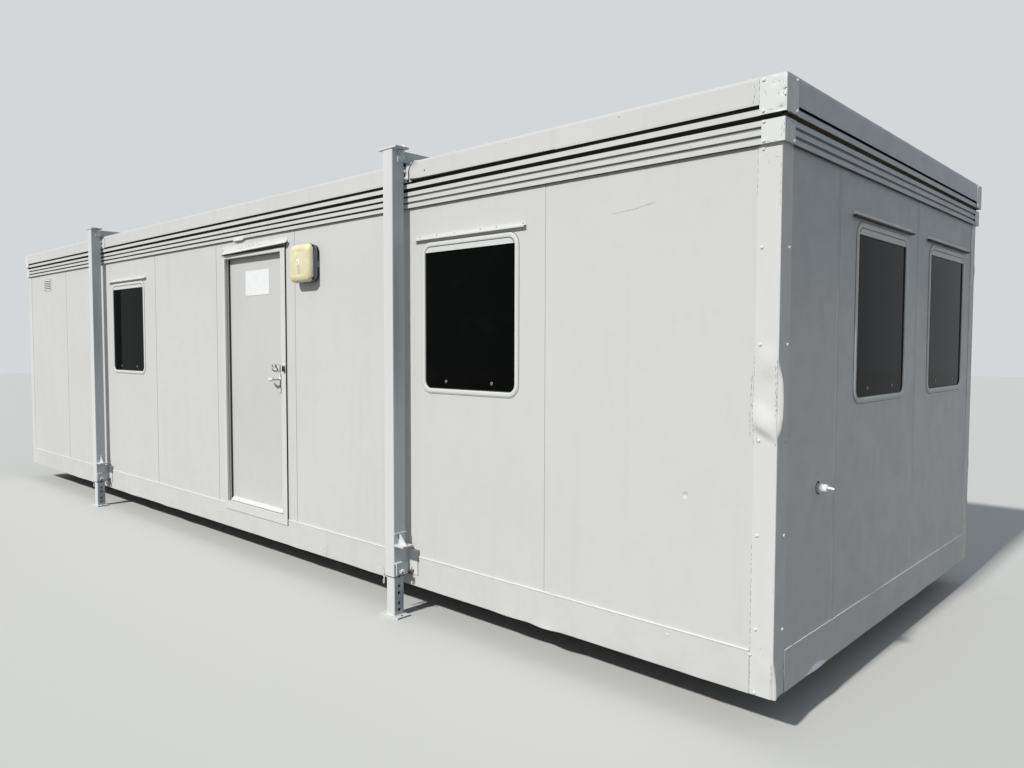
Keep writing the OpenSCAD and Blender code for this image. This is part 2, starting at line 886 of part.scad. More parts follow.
// Square base on four short feet
module lamp_base() {
    color(dark_grey) placed() on_front(lamp_x, lamp_z, 0) {
        translate([0, 0, foot_h]) linear_extrude(lamp_base_d - foot_h) rounded(lamp_size, lamp_size, lamp_r);
        for (sx = [-1, 1], sz = [-1, 1])
            translate([sx * foot_spread / 2, sz * foot_spread / 2, 0])
                cylinder(r = foot_r, h = foot_h + cut);
    }
}

// Bevelled lens with round corners
module lamp_lens() {
    rim = lamp_size - 2 * lens_inset;
    face = rim - 2 * lens_bevel;
    color(lens_yellow) placed() on_front(lamp_x, lamp_z, lamp_base_d) hull() {
        linear_extrude(lens_side) rounded(rim, rim, lamp_r, $fn = 24);
        linear_extrude(lamp_lens_d) rounded(face, face, lamp_r, $fn = 24);
    }
}

// Water inlet: radius of its pipe through the wall, then its flange, nut and collar
inlet_pipe_r = 12;
pipe_in = 20;
flange_t = 13;
nut_r = 20;
nut_l = 15;
collar_r = 18.5;
collar_l = 23;

module water_inlet() {
    tail_from = flange_t + nut_l + collar_l;
    back = wall_t + pipe_in;
    color(plastic_white) placed() on_end(inlet_y, inlet_z, 0) difference() {
        union() {
            cylinder(r = inlet_r, h = flange_t);
            translate([0, 0, flange_t]) cylinder(r = nut_r, h = nut_l);
            translate([0, 0, flange_t + nut_l]) cylinder(r = collar_r, h = collar_l);
            translate([0, 0, tail_from]) cylinder(r = tail_r, h = inlet_reach - tail_from);
            translate([0, 0, -back]) cylinder(r = inlet_pipe_r - fit, h = back + cut);
        }
        translate([0, 0, -back - cut]) cylinder(r = inlet_bore_r, h = back + inlet_reach + 2 * cut);
    }
}

// Jacklegs

// Puts a piece drawn round a front leg's axis at one leg; side -1 is the front
module at_leg(end, side) {
    x = leg_shift + end * leg_pitch / 2;
    if (side < 0) translate([x, -leg_y, 0]) children();
    else mirror([0, 1, 0]) translate([x, -leg_y, 0]) children();
}

module at_legs() {
    for (end = [-1, 1], side = [-1, 1]) at_leg(end, side) children();
}

// How far the tube runs up past the roof beam
tube_over = 8;
tube_top = roof_top + beam_h + tube_over;
tube_r = 8;
// Guard over the pin's end: its foot and top, gap to the tube and thickness
guard_low = 83;
guard_top = 158;
guard_gap = 14;
guard_t = 8;
guard_side = 3;
// Where the guard's top starts to fall towards the wall, and how far it falls
guard_peak = 7;
guard_drop = 12;
// Lifting shelf, its web and the bar above it
shelf_z = 258;
shelf_out = 80;
shelf_w = 80;
shelf_t = 10;
shelf_side = 4;
web_top = 329;
web_t = 8;
// How far a piece welded to the tube reaches into the tube's wall
weld = 2;
// Peaked lug on the top plate: start and rear face from the tube's middle, length, height, thickness
peak_from = 36;
peak_back = 37;
peak_l = 49;
peak_h = 22;
peak_t = 8;

// Notch in the tube's sides that drops over the leg pin
module pin_notch() {
    translate([-tube_w, 0, pin_z]) rotate([0, 90, 0]) cylinder(r = pin_r + pin_clear, h = 2 * tube_w);
    translate([-tube_w, -pin_r - pin_clear, tube_low - cut])
        cube([2 * tube_w, 2 * (pin_r + pin_clear), pin_z - tube_low + cut]);
}

// Plate that hangs in front of the leg pin's hole, held off the tube by a flange along its top
module pin_guard() {
    side = tube_w / 2 - guard_side;
    face = tube_w / 2;
    translate([face - weld, -side, guard_top - guard_t])
        cube([weld + guard_gap + guard_t, side + guard_peak, guard_t]);
    translate([face + guard_gap, 0, 0]) rotate([90, 0, 90]) linear_extrude(guard_t)
        polygon([
            [-side, guard_low], [side, guard_low], [side, guard_top - guard_drop],
            [guard_peak, guard_top], [-side, guard_top]
        ]);
}

// Lifting shelf with its web and the bar above it
module lifting_shelf() {
    face = tube_w / 2 - weld;
    rise = web_top - shelf_z - shelf_t;
    translate([face, -tube_w / 2 + shelf_side, shelf_z]) cube([weld + shelf_out, shelf_w, shelf_t]);
    translate([face, -tube_w / 2, web_top]) cube([weld + web_t, tube_w, web_t]);
    translate([face, 0, shelf_z + shelf_t]) rotate([90, 0, 0]) linear_extrude(web_t)
        polygon([[0, 0], [weld + shelf_out - web_t, 0], [weld + web_t, rise], [0, rise]]);
}

// Top plate with its peaked lug
module top_plate() {
    translate([-plate_l / 2, -plate_w / 2, tube_top]) cube([plate_l, plate_w, plate_t]);
    translate([peak_from, peak_back, tube_top + plate_t - weld]) rotate([90, 0, 0]) linear_extrude(peak_t)
        polygon([[0, 0], [peak_l, 0], [peak_l, weld], [peak_l / 2, weld + peak_h], [0, weld]]);
}

module leg_outer_tubes() {
    color(steel_grey) placed() at_legs() difference() {
        union() {
            translate([0, 0, tube_low]) linear_extrude(tube_top - tube_low) rounded(tube_w, tube_w, tube_r);
            top_plate();
            pin_guard();
            lifting_shelf();
        }
        translate([0, 0, tube_low - cut]) linear_extrude(tube_top - tube_low + cut)
            rounded(tube_w - 2 * tube_t, tube_w - 2 * tube_t, tube_r - tube_t);
        pin_notch();
    }
}

// Plate on the base rail that holds a tube: its foot, height, steel and reach to the right
bracket_low = 71;
bracket_h = 150;
bracket_t = 8;
bracket_right = 116;
// How far the webs between plate and tube are set in from the tube's sides
web_in = 8;
// Lug that holds a tube to the fascia: how far it hangs below the fascia, its height, steel and width
lug_down = 6;
lug_h = 101;
lug_t = 6;
lug_w = 73;
// How far the lug's web is set in from the tube's right side
lug_in = 12;

module leg_brackets() {
    back = tube_w / 2;
    rail_gap = leg_gap - facing_t;
    fascia_gap = leg_gap - roof_over;
    color(steel_grey) placed() at_legs() {
        translate([-back, back + rail_gap - bracket_t, bracket_low])
            cube([back + bracket_right, bracket_t, bracket_h]);
        for (side = [0, 1]) mirror([side, 0, 0])
            translate([back - web_in - bracket_t, back, bracket_low]) cube([bracket_t, rail_gap, bracket_h]);
        translate([back - lug_in - lug_t, back, fascia_low - lug_down]) {
            cube([lug_t, fascia_gap, lug_h]);
            translate([0, fascia_gap - lug_t, 0]) cube([lug_w, lug_t, lug_h]);
        }
    }
}

// How far the beam's cheeks reach past the legs' middle
cheek_past = 3;

// Inverted channel over the roof whose cheeks hold two opposite legs
module roof_beams() {
    reach = leg_y + cheek_past;
    color(steel_grey) placed() for (end = [-1, 1])
        translate([leg_shift + end * leg_pitch / 2, 0, roof_top]) {
        for (side = [0, 1]) mirror([side, 0, 0])
            translate([tube_w / 2, -reach, 0]) cube([beam_t, 2 * reach, beam_h]);
        translate([-tube_w / 2, -leg_y + tube_w / 2, beam_h - beam_t])
            cube([tube_w, 2 * leg_y - tube_w, beam_t]);
    }
}

inner_r = 7;
// Plain stretch at the top of the inner leg
leg_bare = 100;
// How far the pin runs out of the tube on its left and right, and its head
pin_left = 24;
pin_right = 40;
pin_head_t = 9;
pin_head_past = 5;

// Inner leg with its row of holes and its foot plate
module inner_leg() {
    pairs = floor((inner_l - leg_bare) / hole_pitch);
    translate([0, 0, -clearance]) difference() {
        union() {
            translate([0, 0, plate_t]) linear_extrude(inner_l - plate_t) rounded(inner_w, inner_w, inner_r);
            translate([-plate_l / 2, -plate_w / 2, 0]) cube([plate_l, plate_w, plate_t]);
        }
        translate([0, 0, plate_t]) linear_extrude(inner_l)
            rounded(inner_w - 2 * inner_t, inner_w - 2 * inner_t, inner_r - inner_t + cut);
        for (i = [0 : pairs - 1], j = [0, 1])
            translate([-inner_w, 0, hole_low + i * hole_pitch + j * hole_gap]) rotate([0, 90, 0])
                cylinder(r = pin_r + pin_clear, h = 2 * inner_w);
        for (side = [-1, 1])
            translate([side * anchor_pitch / 2, 0, -cut]) cylinder(r = anchor_r, h = plate_t + 2 * cut);
    }
}

// Leg pin with its head on the left
module leg_pin() {
    translate([-tube_w / 2 - pin_left, 0, pin_z]) rotate([0, 90, 0]) {
        cylinder(r = pin_r, h = pin_left + tube_w + pin_right);
        translate([0, 0, cut - pin_head_t]) cylinder(r = pin_r + pin_head_past, h = pin_head_t);
    }
}

module inner_leg_front_right() color(steel_grey) placed() at_leg(1, -1) inner_leg();
module inner_leg_front_left() color(steel_grey) placed() at_leg(-1, -1) inner_leg();
module inner_leg_rear_right() color(steel_grey) placed() at_leg(1, 1) inner_leg();
module inner_leg_rear_left() color(steel_grey) placed() at_leg(-1, 1) inner_leg();
module leg_pin_front_right() color(steel_grey) placed() at_leg(1, -1) leg_pin();
module leg_pin_front_left() color(steel_grey) placed() at_leg(-1, -1) leg_pin();
module leg_pin_rear_right() color(steel_grey) placed() at_leg(1, 1) leg_pin();
module leg_pin_rear_left() color(steel_grey) placed() at_leg(-1, 1) leg_pin();

base_rails_long();
base_rails_short();
floor_joists();
floor_deck();
front_wall_left();
front_wall_right();
front_wall_header();
rear_wall();
left_end_wall();
right_end_wall();
corner_trims();
ceiling_panel();
roof_joists();
roof_deck();
fascia_long();
fascia_short();
ribbed_band_long();
ribbed_band_short();
roof_corner_caps();
door_frame();
door_hood();
door_leaf();
weather_bar();
lock_plates();
door_levers();
window_frames();
window_glass();
window_hinge_bars();
window_catches();
drip_strips();
vent();
lamp_base();
lamp_lens();
water_inlet();
leg_outer_tubes();
leg_brackets();
roof_beams();
inner_leg_front_right();
inner_leg_front_left();
inner_leg_rear_right();
inner_leg_rear_left();
leg_pin_front_right();
leg_pin_front_left();
leg_pin_rear_right();
leg_pin_rear_left();
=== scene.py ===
"""Looks of the portable site cabin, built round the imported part.

Lengths are metres in the part's own frame. Details of a wall are drawn in that wall's axes:
along the wall to the right as seen from outside (from its middle), up (from the underside of
the base rail) and out of the wall. Each sub-assembly is a class whose fields are its sizes.
"""

from __future__ import annotations

import json
import logging
import math
import random
import sys
from dataclasses import dataclass
from enum import Enum
from typing import Callable, ClassVar, Iterable, Sequence, Union

import bmesh
import bpy
from mathutils import Matrix, Vector, noise

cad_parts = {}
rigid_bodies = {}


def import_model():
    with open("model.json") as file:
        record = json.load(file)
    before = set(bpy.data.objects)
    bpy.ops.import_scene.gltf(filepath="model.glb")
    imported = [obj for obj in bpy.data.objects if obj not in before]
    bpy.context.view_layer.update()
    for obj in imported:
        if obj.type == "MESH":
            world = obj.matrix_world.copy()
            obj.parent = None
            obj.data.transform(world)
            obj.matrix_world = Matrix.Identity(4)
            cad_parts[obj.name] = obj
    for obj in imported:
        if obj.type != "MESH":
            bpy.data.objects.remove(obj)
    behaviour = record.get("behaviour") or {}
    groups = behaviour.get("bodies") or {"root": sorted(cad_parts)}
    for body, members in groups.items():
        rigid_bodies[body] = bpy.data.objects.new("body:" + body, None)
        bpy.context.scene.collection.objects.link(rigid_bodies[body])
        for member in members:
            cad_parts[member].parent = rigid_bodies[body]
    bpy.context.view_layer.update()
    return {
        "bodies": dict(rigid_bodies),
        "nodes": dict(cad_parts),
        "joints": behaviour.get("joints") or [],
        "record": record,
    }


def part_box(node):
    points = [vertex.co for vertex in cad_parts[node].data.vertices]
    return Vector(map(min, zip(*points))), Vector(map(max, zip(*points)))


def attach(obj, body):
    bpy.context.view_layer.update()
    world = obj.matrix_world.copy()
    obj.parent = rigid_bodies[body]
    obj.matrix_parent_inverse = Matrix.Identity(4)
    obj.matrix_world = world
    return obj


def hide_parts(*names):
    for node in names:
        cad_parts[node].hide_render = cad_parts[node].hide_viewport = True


log = logging.getLogger("site_cabin")

Rgb = tuple[float, float, float]
Point = Sequence[float]
Value = Union[float, bpy.types.NodeSocket]
Colour = Union[Rgb, bpy.types.NodeSocket]
PointAt = Callable[[float, float, float], Point]

TURN = 2 * math.pi


# Walls and places


class Wall(Enum):
    """The four walls, by the side they face."""

    FRONT = "front"
    REAR = "rear"
    LEFT = "left"
    RIGHT = "right"

    @property
    def long(self) -> bool:
        """Whether it is one of the two long walls."""
        return self in (Wall.FRONT, Wall.REAR)


class Place(Enum):
    """The four legs and corners, by where they stand."""

    FRONT_RIGHT = "front_right"
    FRONT_LEFT = "front_left"
    REAR_RIGHT = "rear_right"
    REAR_LEFT = "rear_left"

    @property
    def side(self) -> int:
        """-1 at the front, 1 at the rear."""
        return -1 if self.value.startswith("front") else 1

    @property
    def end(self) -> int:
        """-1 at the left, 1 at the right."""
        return -1 if self.value.endswith("left") else 1


@dataclass(frozen=True)
class Site:
    """Main planes of the cabin, read from the frame."""

    left: float
    right: float
    front: float
    rear: float
    base: float
    band: float
    eaves: float
    top: float

    @classmethod
    def measure(cls) -> "Site":
        """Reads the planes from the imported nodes.

        Returns:
            The site of this part.
        """
        walls = [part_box(n) for n in ("left_end_wall", "right_end_wall", "rear_wall", "front_wall_left")]
        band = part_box("ribbed_band_long")
        return cls(
            left=walls[0][0].x,
            right=walls[1][1].x,
            front=walls[3][0].y,
            rear=walls[2][1].y,
            base=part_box("base_rails_long")[0].z,
            band=band[0].z,
            eaves=band[1].z,
            top=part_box("fascia_long")[1].z,
        )

    @property
    def middle(self) -> float:
        """Middle of the cabin along X."""
        return (self.left + self.right) / 2

    @property
    def half_length(self) -> float:
        """Half the length over the end walls."""
        return (self.right - self.left) / 2

    @property
    def half_width(self) -> float:
        """Half the width over the long walls."""
        return (self.rear - self.front) / 2

    def axes(self, wall: Wall) -> Matrix:
        """Gives the axes of one wall.

        Args:
            wall: The wall to draw on.

        Returns:
            Matrix from (along, up, out) to the part's frame.
        """
        along, out, origin = {
            Wall.FRONT: (Vector((1, 0, 0)), Vector((0, -1, 0)), (self.middle, self.front, self.base)),
            Wall.REAR: (Vector((-1, 0, 0)), Vector((0, 1, 0)), (self.middle, self.rear, self.base)),
            Wall.RIGHT: (Vector((0, 1, 0)), Vector((1, 0, 0)), (self.right, 0, self.base)),
            Wall.LEFT: (Vector((0, -1, 0)), Vector((-1, 0, 0)), (self.left, 0, self.base)),
        }[wall]
        return frame_matrix(along, Vector((0, 0, 1)), out, Vector(origin))

    def corner(self, place: Place, over: float) -> Matrix:
        """Gives the axes of one outer corner.

        Args:
            place: Which corner.
            over: How far the sheet's outer faces stand out from the walls.

        Returns:
            Matrix from (distance along the long wall, distance along the end wall, up).
        """
        origin = Vector((
            self.middle + place.end * (self.half_length + over),
            place.side * (self.half_width + over),
            self.base,
        ))
        return frame_matrix(Vector((-place.end, 0, 0)), Vector((0, -place.side, 0)), Vector((0, 0, 1)), origin)

    def leg(self, place: Place) -> Matrix:
        """Gives the axes of one leg, out being away from the cabin.

        Args:
            place: Which leg.

        Returns:
            Matrix from (right, up, out) round the leg's axis.
        """
        low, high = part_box(f"inner_leg_{place.value}")
        origin = Vector(((low.x + high.x) / 2, (low.y + high.y) / 2, self.base))
        return frame_matrix(Vector((1, 0, 0)), Vector((0, 0, 1)), Vector((0, place.side, 0)), origin)


def frame_matrix(first: Vector, second: Vector, third: Vector, origin: Vector) -> Matrix:
    """Builds a matrix from three axes and an origin.

    Args:
        first: First axis.
        second: Second axis.
        third: Third axis.
        origin: Where the axes start.

    Returns:
        The 4 by 4 matrix.
    """
    matrix = Matrix((first, second, third)).transposed().to_4x4()
    matrix.translation = origin
    return matrix


# Shader graphs


class Nodes:
    """Short calls that add nodes to one tree."""

    def __init__(self, tree: bpy.types.NodeTree) -> None:
        """Takes the tree that nodes are added to."""
        self.tree = tree

    def feed(self, socket: bpy.types.NodeSocket, value: Union[Value, Colour]) -> None:
        """Links a socket to the value, or sets the value on it.

        Args:
            socket: The input that is fed.
            value: A number, a colour or another node's socket.
        """
        if isinstance(value, bpy.types.NodeSocket):
            self.tree.links.new(value, socket)
        elif isinstance(value, tuple):
            socket.default_value = (*value, 1.0)
        else:
            socket.default_value = value

    def compute(self, operation: str, *values: Value) -> Value:
        """Works out one value from others.

        Args:
            operation: The math node's operation.
            values: What it takes.

        Returns:
            The result.
        """
        node = self.tree.nodes.new("ShaderNodeMath")
        node.operation = operation
        for socket, value in zip(node.inputs, values):
            self.feed(socket, value)
        return node.outputs["Value"]

    def blend(self, amount: Value, first: Colour, second: Colour) -> Colour:
        """Mixes two colours.

        Args:
            amount: Share of the second colour.
            first: Colour where the amount is 0.
            second: Colour where the amount is 1.

        Returns:
            The mixed colour.
        """
        node = self.tree.nodes.new("ShaderNodeMix")
        node.data_type = "RGBA"
        for index, value in ((0, amount), (6, first), (7, second)):
            self.feed(node.inputs[index], value)
        return node.outputs[2]

    def seen(self) -> Value:
        """Tells the rays of the camera, of mirrors and of glass from the rest.

        Returns:
            1 for camera, glossy and transmission rays, and 0 for the rest.
        """
        rays = self.tree.nodes.new("ShaderNodeLightPath").outputs
        direct = self.compute("MAXIMUM", rays["Is Camera Ray"], rays["Is Glossy Ray"])
        return self.compute("MAXIMUM", direct, rays["Is Transmission Ray"])


class Graph(Nodes):
    """Shader nodes of one material, with short calls for the nodes that the finishes share."""

    def __init__(self, name: str) -> None:
        """Starts a material with one principled shader.

        Args:
            name: Name of the material.
        """
        self.material = bpy.data.materials.new(name)
        self.material.use_nodes = True
        super().__init__(self.material.node_tree)
        self.shader = self.tree.nodes["Principled BSDF"]
        self.place = self.tree.nodes.new("ShaderNodeTexCoord").outputs["Object"]

    def set(self, name: str, value: Union[Value, Colour]) -> None:
        """Sets or links one input of the shader."""
        self.feed(self.shader.inputs[name], value)

    def noise(self, scale: float, detail: float = 4.0, rough: float = 0.55, stretch: Rgb = (1, 1, 1)) -> Value:
        """Adds a noise texture over the part's own coordinates.

        Args:
            scale: Features in each metre.
            detail: Octaves of finer noise.
            rough: How strong the finer octaves are.
            stretch: Factor on each axis before the noise.

        Returns:
            The noise's value.
        """
        mapping = self.tree.nodes.new("ShaderNodeMapping")
        mapping.inputs["Scale"].default_value = stretch
        mapping.inputs["Location"].default_value = (scale * 0.37, scale * 0.11, scale * 0.71)
        self.tree.links.new(self.place, mapping.inputs["Vector"])
        node = self.tree.nodes.new("ShaderNodeTexNoise")
        node.inputs["Scale"].default_value = scale
        node.inputs["Detail"].default_value = detail
        node.inputs["Roughness"].default_value = rough
        self.tree.links.new(mapping.outputs["Vector"], node.inputs["Vector"])
        return node.outputs["Fac"]

    def height(self) -> Value:
        """Gives the height above the ground.

        Returns:
            The height in metres.
        """
        node = self.tree.nodes.new("ShaderNodeSeparateXYZ")
        self.feed(node.inputs["Vector"], self.place)
        return node.outputs["Z"]

    def endwise(self) -> Value:
        """Gives how squarely the surface faces along the cabin.

        Returns:
            The size of the normal's X.
        """
        split = self.tree.nodes.new("ShaderNodeSeparateXYZ")
        self.feed(split.inputs["Vector"], self.tree.nodes.new("ShaderNodeNewGeometry").outputs["Normal"])
        return self.compute("ABSOLUTE", split.outputs["X"])

    def ramp(self, value: Value, low: float, high: float, start: float = 0.0, end: float = 1.0) -> Value:
        """Maps a range of a value smoothly onto another range.

        Args:
            value: What is mapped.
            low: Where the ramp starts.
            high: Where the ramp ends.
            start: Result at low.
            end: Result at high.

        Returns:
            The mapped value.
        """
        node = self.tree.nodes.new("ShaderNodeMapRange")
        node.interpolation_type = "SMOOTHSTEP"
        self.feed(node.inputs["Value"], value)
        for name, number in zip(("From Min", "From Max", "To Min", "To Max"), (low, high, start, end)):
            node.inputs[name].default_value = number
        return node.outputs["Result"]

    def times(self, first: Value, second: Value) -> Value:
        """Multiplies two values."""
        return self.compute("MULTIPLY", first, second)

    def bump(self, height: Value, distance: float, strength: float = 1.0) -> None:
        """Adds relief on top of the relief that is there.

        Args:
            height: Height as a share of the distance.
            distance: Depth of the relief in metres.
            strength: How strongly it turns the surface.
        """
        node = self.tree.nodes.new("ShaderNodeBump")
        node.inputs["Distance"].default_value = distance
        node.inputs["Strength"].default_value = strength
        self.feed(node.inputs["Height"], height)
        normal = self.shader.inputs["Normal"]
        if normal.is_linked:
            self.tree.links.new(normal.links[0].from_socket, node.inputs["Normal"])
        self.tree.links.new(node.outputs["Normal"], normal)


# Finishes


def shade(colour: Rgb, factor: float) -> Rgb:
    """Makes a colour darker or lighter by a factor."""
    return (colour[0] * factor, colour[1] * factor, colour[2] * factor)


@dataclass(frozen=True)
class Paint:
    """Paint on sheet steel, with run-off marks, splash near the ground and a little rust, and where asked painted
    shade: a bluish darkening towards the top and on faces turned along the cabin.
    """

    name: str
    colour: Rgb
    dirt: Rgb = (0.33, 0.31, 0.26)
    stain: Rgb = (0.20, 0.085, 0.035)
    roughness: float = 0.44
    streaks: float = 0.22
    # Painted shade: share of a bluish darkening towards the top, share of the same darkening on faces turned along the
    # cabin, and its colour.
    shade_coat: float = 0.0
    endwise_shade: float = 0.0
    film: Rgb = (0.26, 0.315, 0.36)
    splash: float = 0.16
    rust: float = 0.35
    grain: float = 0.0003
    buckle: float = 0.003
    slot: str = "cabin_paint"

    def material(self) -> bpy.types.Material:
        """Builds the paint's material.

        Returns:
            The new material.
        """
        g = Graph(self.name)
        mottle = g.noise(11.0, 6.0, 0.6)
        streak = g.noise(3.2, 6.0, 0.62, (3.2, 3.2, 0.20))
        colour = g.blend(g.ramp(g.noise(0.9, 3.0), 0.3, 0.7), shade(self.colour, 0.975), shade(self.colour, 1.015))
        colour = g.blend(g.ramp(mottle, 0.46, 0.74, 0.0, 0.07), colour, shade(self.dirt, 1.35))
        colour = g.blend(g.ramp(streak, 0.52, 0.80, 0.0, self.streaks * 0.5), colour, shade(self.dirt, 1.15))
        low = g.times(g.ramp(g.height(), 0.62, 0.14), g.ramp(g.noise(6.0, 8.0, 0.65), 0.40, 0.76))
        colour = g.blend(g.times(low, self.splash), colour, self.dirt)
        # Painted shade: blends towards the bluish film colour, growing with the height from 1.35 m to 2.45 m.
        if self.shade_coat:
            film = g.times(g.ramp(g.height(), 1.35, 2.45), g.ramp(g.noise(2.6, 5.0), 0.25, 0.75, 0.75, 1.0))
            colour = g.blend(g.times(film, self.shade_coat), colour, self.film)
        # Painted shade: the same blend on faces turned along the cabin.
        if self.endwise_shade:
            colour = g.blend(g.times(g.ramp(g.endwise(), 0.55, 0.90), self.endwise_shade), colour, self.film)
        specks = g.times(g.ramp(g.noise(52.0, 3.0, 0.6), 0.69, 0.75), g.ramp(g.noise(2.1, 4.0), 0.50, 0.66))
        colour = g.blend(g.times(specks, self.rust), colour, self.stain)
        g.set("Base Color", colour)
        g.set("Roughness", g.ramp(mottle, 0.3, 0.75, self.roughness, self.roughness + 0.16))
        g.set("Specular IOR Level", 0.38)
        g.bump(g.noise(1.7, 2.0, 0.5, (1.0, 1.0, 0.45)), self.buckle, 0.55)
        g.bump(g.noise(24.0, 5.0, 0.6), 0.0007, 0.35)
        g.bump(g.noise(420.0, 2.0), self.grain, 0.30)
        return g.material


@dataclass(frozen=True)
class Metal:
    """Bare or plated steel, dulled and spotted with rust."""

    name: str
    colour: Rgb
    metallic: float = 0.85
    roughness: float = 0.38
    stain: Rgb = (0.17, 0.075, 0.035)
    rust: float = 0.5
    spread: float = 0.56
    slot: str = "pin_steel"

    def material(self) -> bpy.types.Material:
        """Builds the metal's material.

        Returns:
            The new material.
        """
        g = Graph(self.name)
        patches = g.ramp(g.noise(34.0, 7.0, 0.68), self.spread, self.spread + 0.16)
        tone = g.blend(g.ramp(g.noise(90.0, 3.0), 0.3, 0.7), shade(self.colour, 0.82), self.colour)
        g.set("Base Color", g.blend(g.times(patches, self.rust), tone, self.stain))
        g.set("Metallic", g.ramp(patches, 0.0, 1.0, self.metallic, self.metallic * 0.25))
        g.set("Roughness", g.ramp(patches, 0.0, 1.0, self.roughness, 0.82))
        g.bump(g.noise(300.0, 4.0, 0.6), 0.0004, 0.4)
        g.bump(g.noise(40.0, 4.0, 0.6), 0.0006, 0.4)
        return g.material


@dataclass(frozen=True)
class Glass:
    """Dark tinted glass with a thin film of dust."""

    name: str
    colour: Rgb
    dust: Rgb = (0.085, 0.085, 0.078)
    level: float = 0.03

    def material(self) -> bpy.types.Material:
        """Builds the glass's material.

        Returns:
            The new material.
        """
        g = Graph(self.name)
        film = g.ramp(g.noise(5.0, 7.0, 0.7), 0.52, 0.88, 0.0, 0.10)
        g.set("Base Color", g.blend(film, self.colour, self.dust))
        g.set("Roughness", g.ramp(g.noise(3.0, 5.0), 0.3, 0.8, 0.018, 0.07))
        g.set("IOR", 1.45)
        g.set("Specular IOR Level", self.level)
        g.bump(g.noise(1.3, 1.0), 0.0012, 0.30)
        return g.material


@dataclass(frozen=True)
class Plastic:
    """Moulded plastic or rubber, chalked by the sun."""

    name: str
    colour: Rgb
    faded: Rgb
    roughness: float = 0.42
    soft: float = 0.0
    ribs: float = 0.0
    slot: str = "dark_plastic"

    def material(self) -> bpy.types.Material:
        """Builds the plastic's material.

        Returns:
            The new material.
        """
        g = Graph(self.name)
        fade = g.ramp(g.noise(16.0, 6.0, 0.62), 0.36, 0.74)
        dirt = g.ramp(g.noise(70.0, 5.0, 0.7), 0.58, 0.80, 0.0, 0.20)
        g.set("Base Color", g.blend(dirt, g.blend(fade, self.colour, self.faded), shade(self.colour, 0.45)))
        g.set("Roughness", g.ramp(fade, 0.0, 1.0, self.roughness, self.roughness + 0.18))
        g.set("Subsurface Weight", self.soft)
        g.set("Subsurface Scale", 0.02)
        g.bump(g.noise(380.0, 3.0), 0.0003, 0.35)
        if self.ribs:
            g.bump(g.noise(150.0, 1.0, 0.4, (1.0, 1.0, 0.03)), self.ribs, 0.5)
        return g.material


@dataclass(frozen=True)
class Board:
    """Sawn or coated board with grain along its length."""

    name: str
    colour: Rgb
    grain_colour: Rgb
    roughness: float = 0.6
    stretch: Rgb = (0.6, 7.0, 7.0)

    def material(self) -> bpy.types.Material:
        """Builds the board's material.

        Returns:
            The new material.
        """
        g = Graph(self.name)
        grain = g.noise(6.0, 7.0, 0.65, self.stretch)
        g.set("Base Color", g.blend(g.ramp(grain, 0.36, 0.70), self.colour, self.grain_colour))
        g.set("Roughness", g.ramp(g.noise(22.0, 4.0), 0.3, 0.7, self.roughness - 0.08, self.roughness + 0.1))
        g.bump(grain, 0.0008, 0.4)
        g.bump(g.noise(240.0, 3.0), 0.0003, 0.3)
        return g.material


PieceFinish = Union[Paint, Metal, Plastic]
Finish = Union[PieceFinish, Glass, Board]

WALL_PAINT = Paint("wall_paint", (0.632, 0.626, 0.620))
# The end walls' paint, with painted shade: darker and bluer towards the top.
END_WALL_SHADE_PAINT = Paint("end_wall_painted_shade", (0.632, 0.630, 0.628), shade_coat=0.55)
TRIM_PAINT = Paint("trim_paint", (0.676, 0.672, 0.664), streaks=0.30, rust=0.55, buckle=0.0015)
EDGE_PAINT = Paint("roof_edge_paint", (0.640, 0.640, 0.630), streaks=0.34, splash=0.0, rust=0.7, buckle=0.0015)
# Painted shade: the fascia and ribbed band of the ends are painted darker and bluer than the long sides'.
END_EDGE_SHADE_PAINT = Paint("end_edge_painted_shade", (0.520, 0.555, 0.590), streaks=0.34, splash=0.0, rust=0.5, buckle=0.0015)
CAP_PAINT = Paint("roof_cap_paint", (0.712, 0.730, 0.715), streaks=0.30, splash=0.0, rust=0.7, buckle=0.0015)
ROOF_PAINT = Paint(
    "roof_sheet_paint", (0.50, 0.505, 0.49), streaks=0.5, splash=0.0, rust=0.8, roughness=0.55, slot="roof_paint"
)
DOOR_PAINT = Paint("door_paint", (0.590, 0.590, 0.582), streaks=0.10, splash=0.10, rust=0.15, buckle=0.002)
FITTING_PAINT = Paint("painted_fittings", (0.640, 0.640, 0.632), streaks=0.0, splash=0.0, rust=0.3, buckle=0.0)
# The legs' paint, with painted shade: faces turned along the cabin are darker and bluer.
LEG_PAINT = Paint(
    "leg_paint", (0.690, 0.698, 0.694), streaks=0.16, endwise_shade=0.55, rust=0.9, buckle=0.0, slot="leg_paint"
)
WINDOW_PAINT = Paint("window_paint", (0.655, 0.665, 0.650), streaks=0.10, splash=0.0, rust=0.0, buckle=0.0)
# Bluish white: scuffs and scraped paint, and a painted highlight on the rolled top of the end rails.
SCUFF_AND_HIGHLIGHT_PAINT = Paint("scuffed_and_highlit_paint", (0.84, 0.88, 0.93), streaks=0.1, splash=0.0, rust=0.3, buckle=0.0)
# Painted shade: dark lining in the ribbed band's grooves.
GROOVE_SHADE_PAINT = Paint("painted_groove_shade", (0.215, 0.218, 0.215), streaks=0.3, splash=0.0, rust=0.4, buckle=0.0)
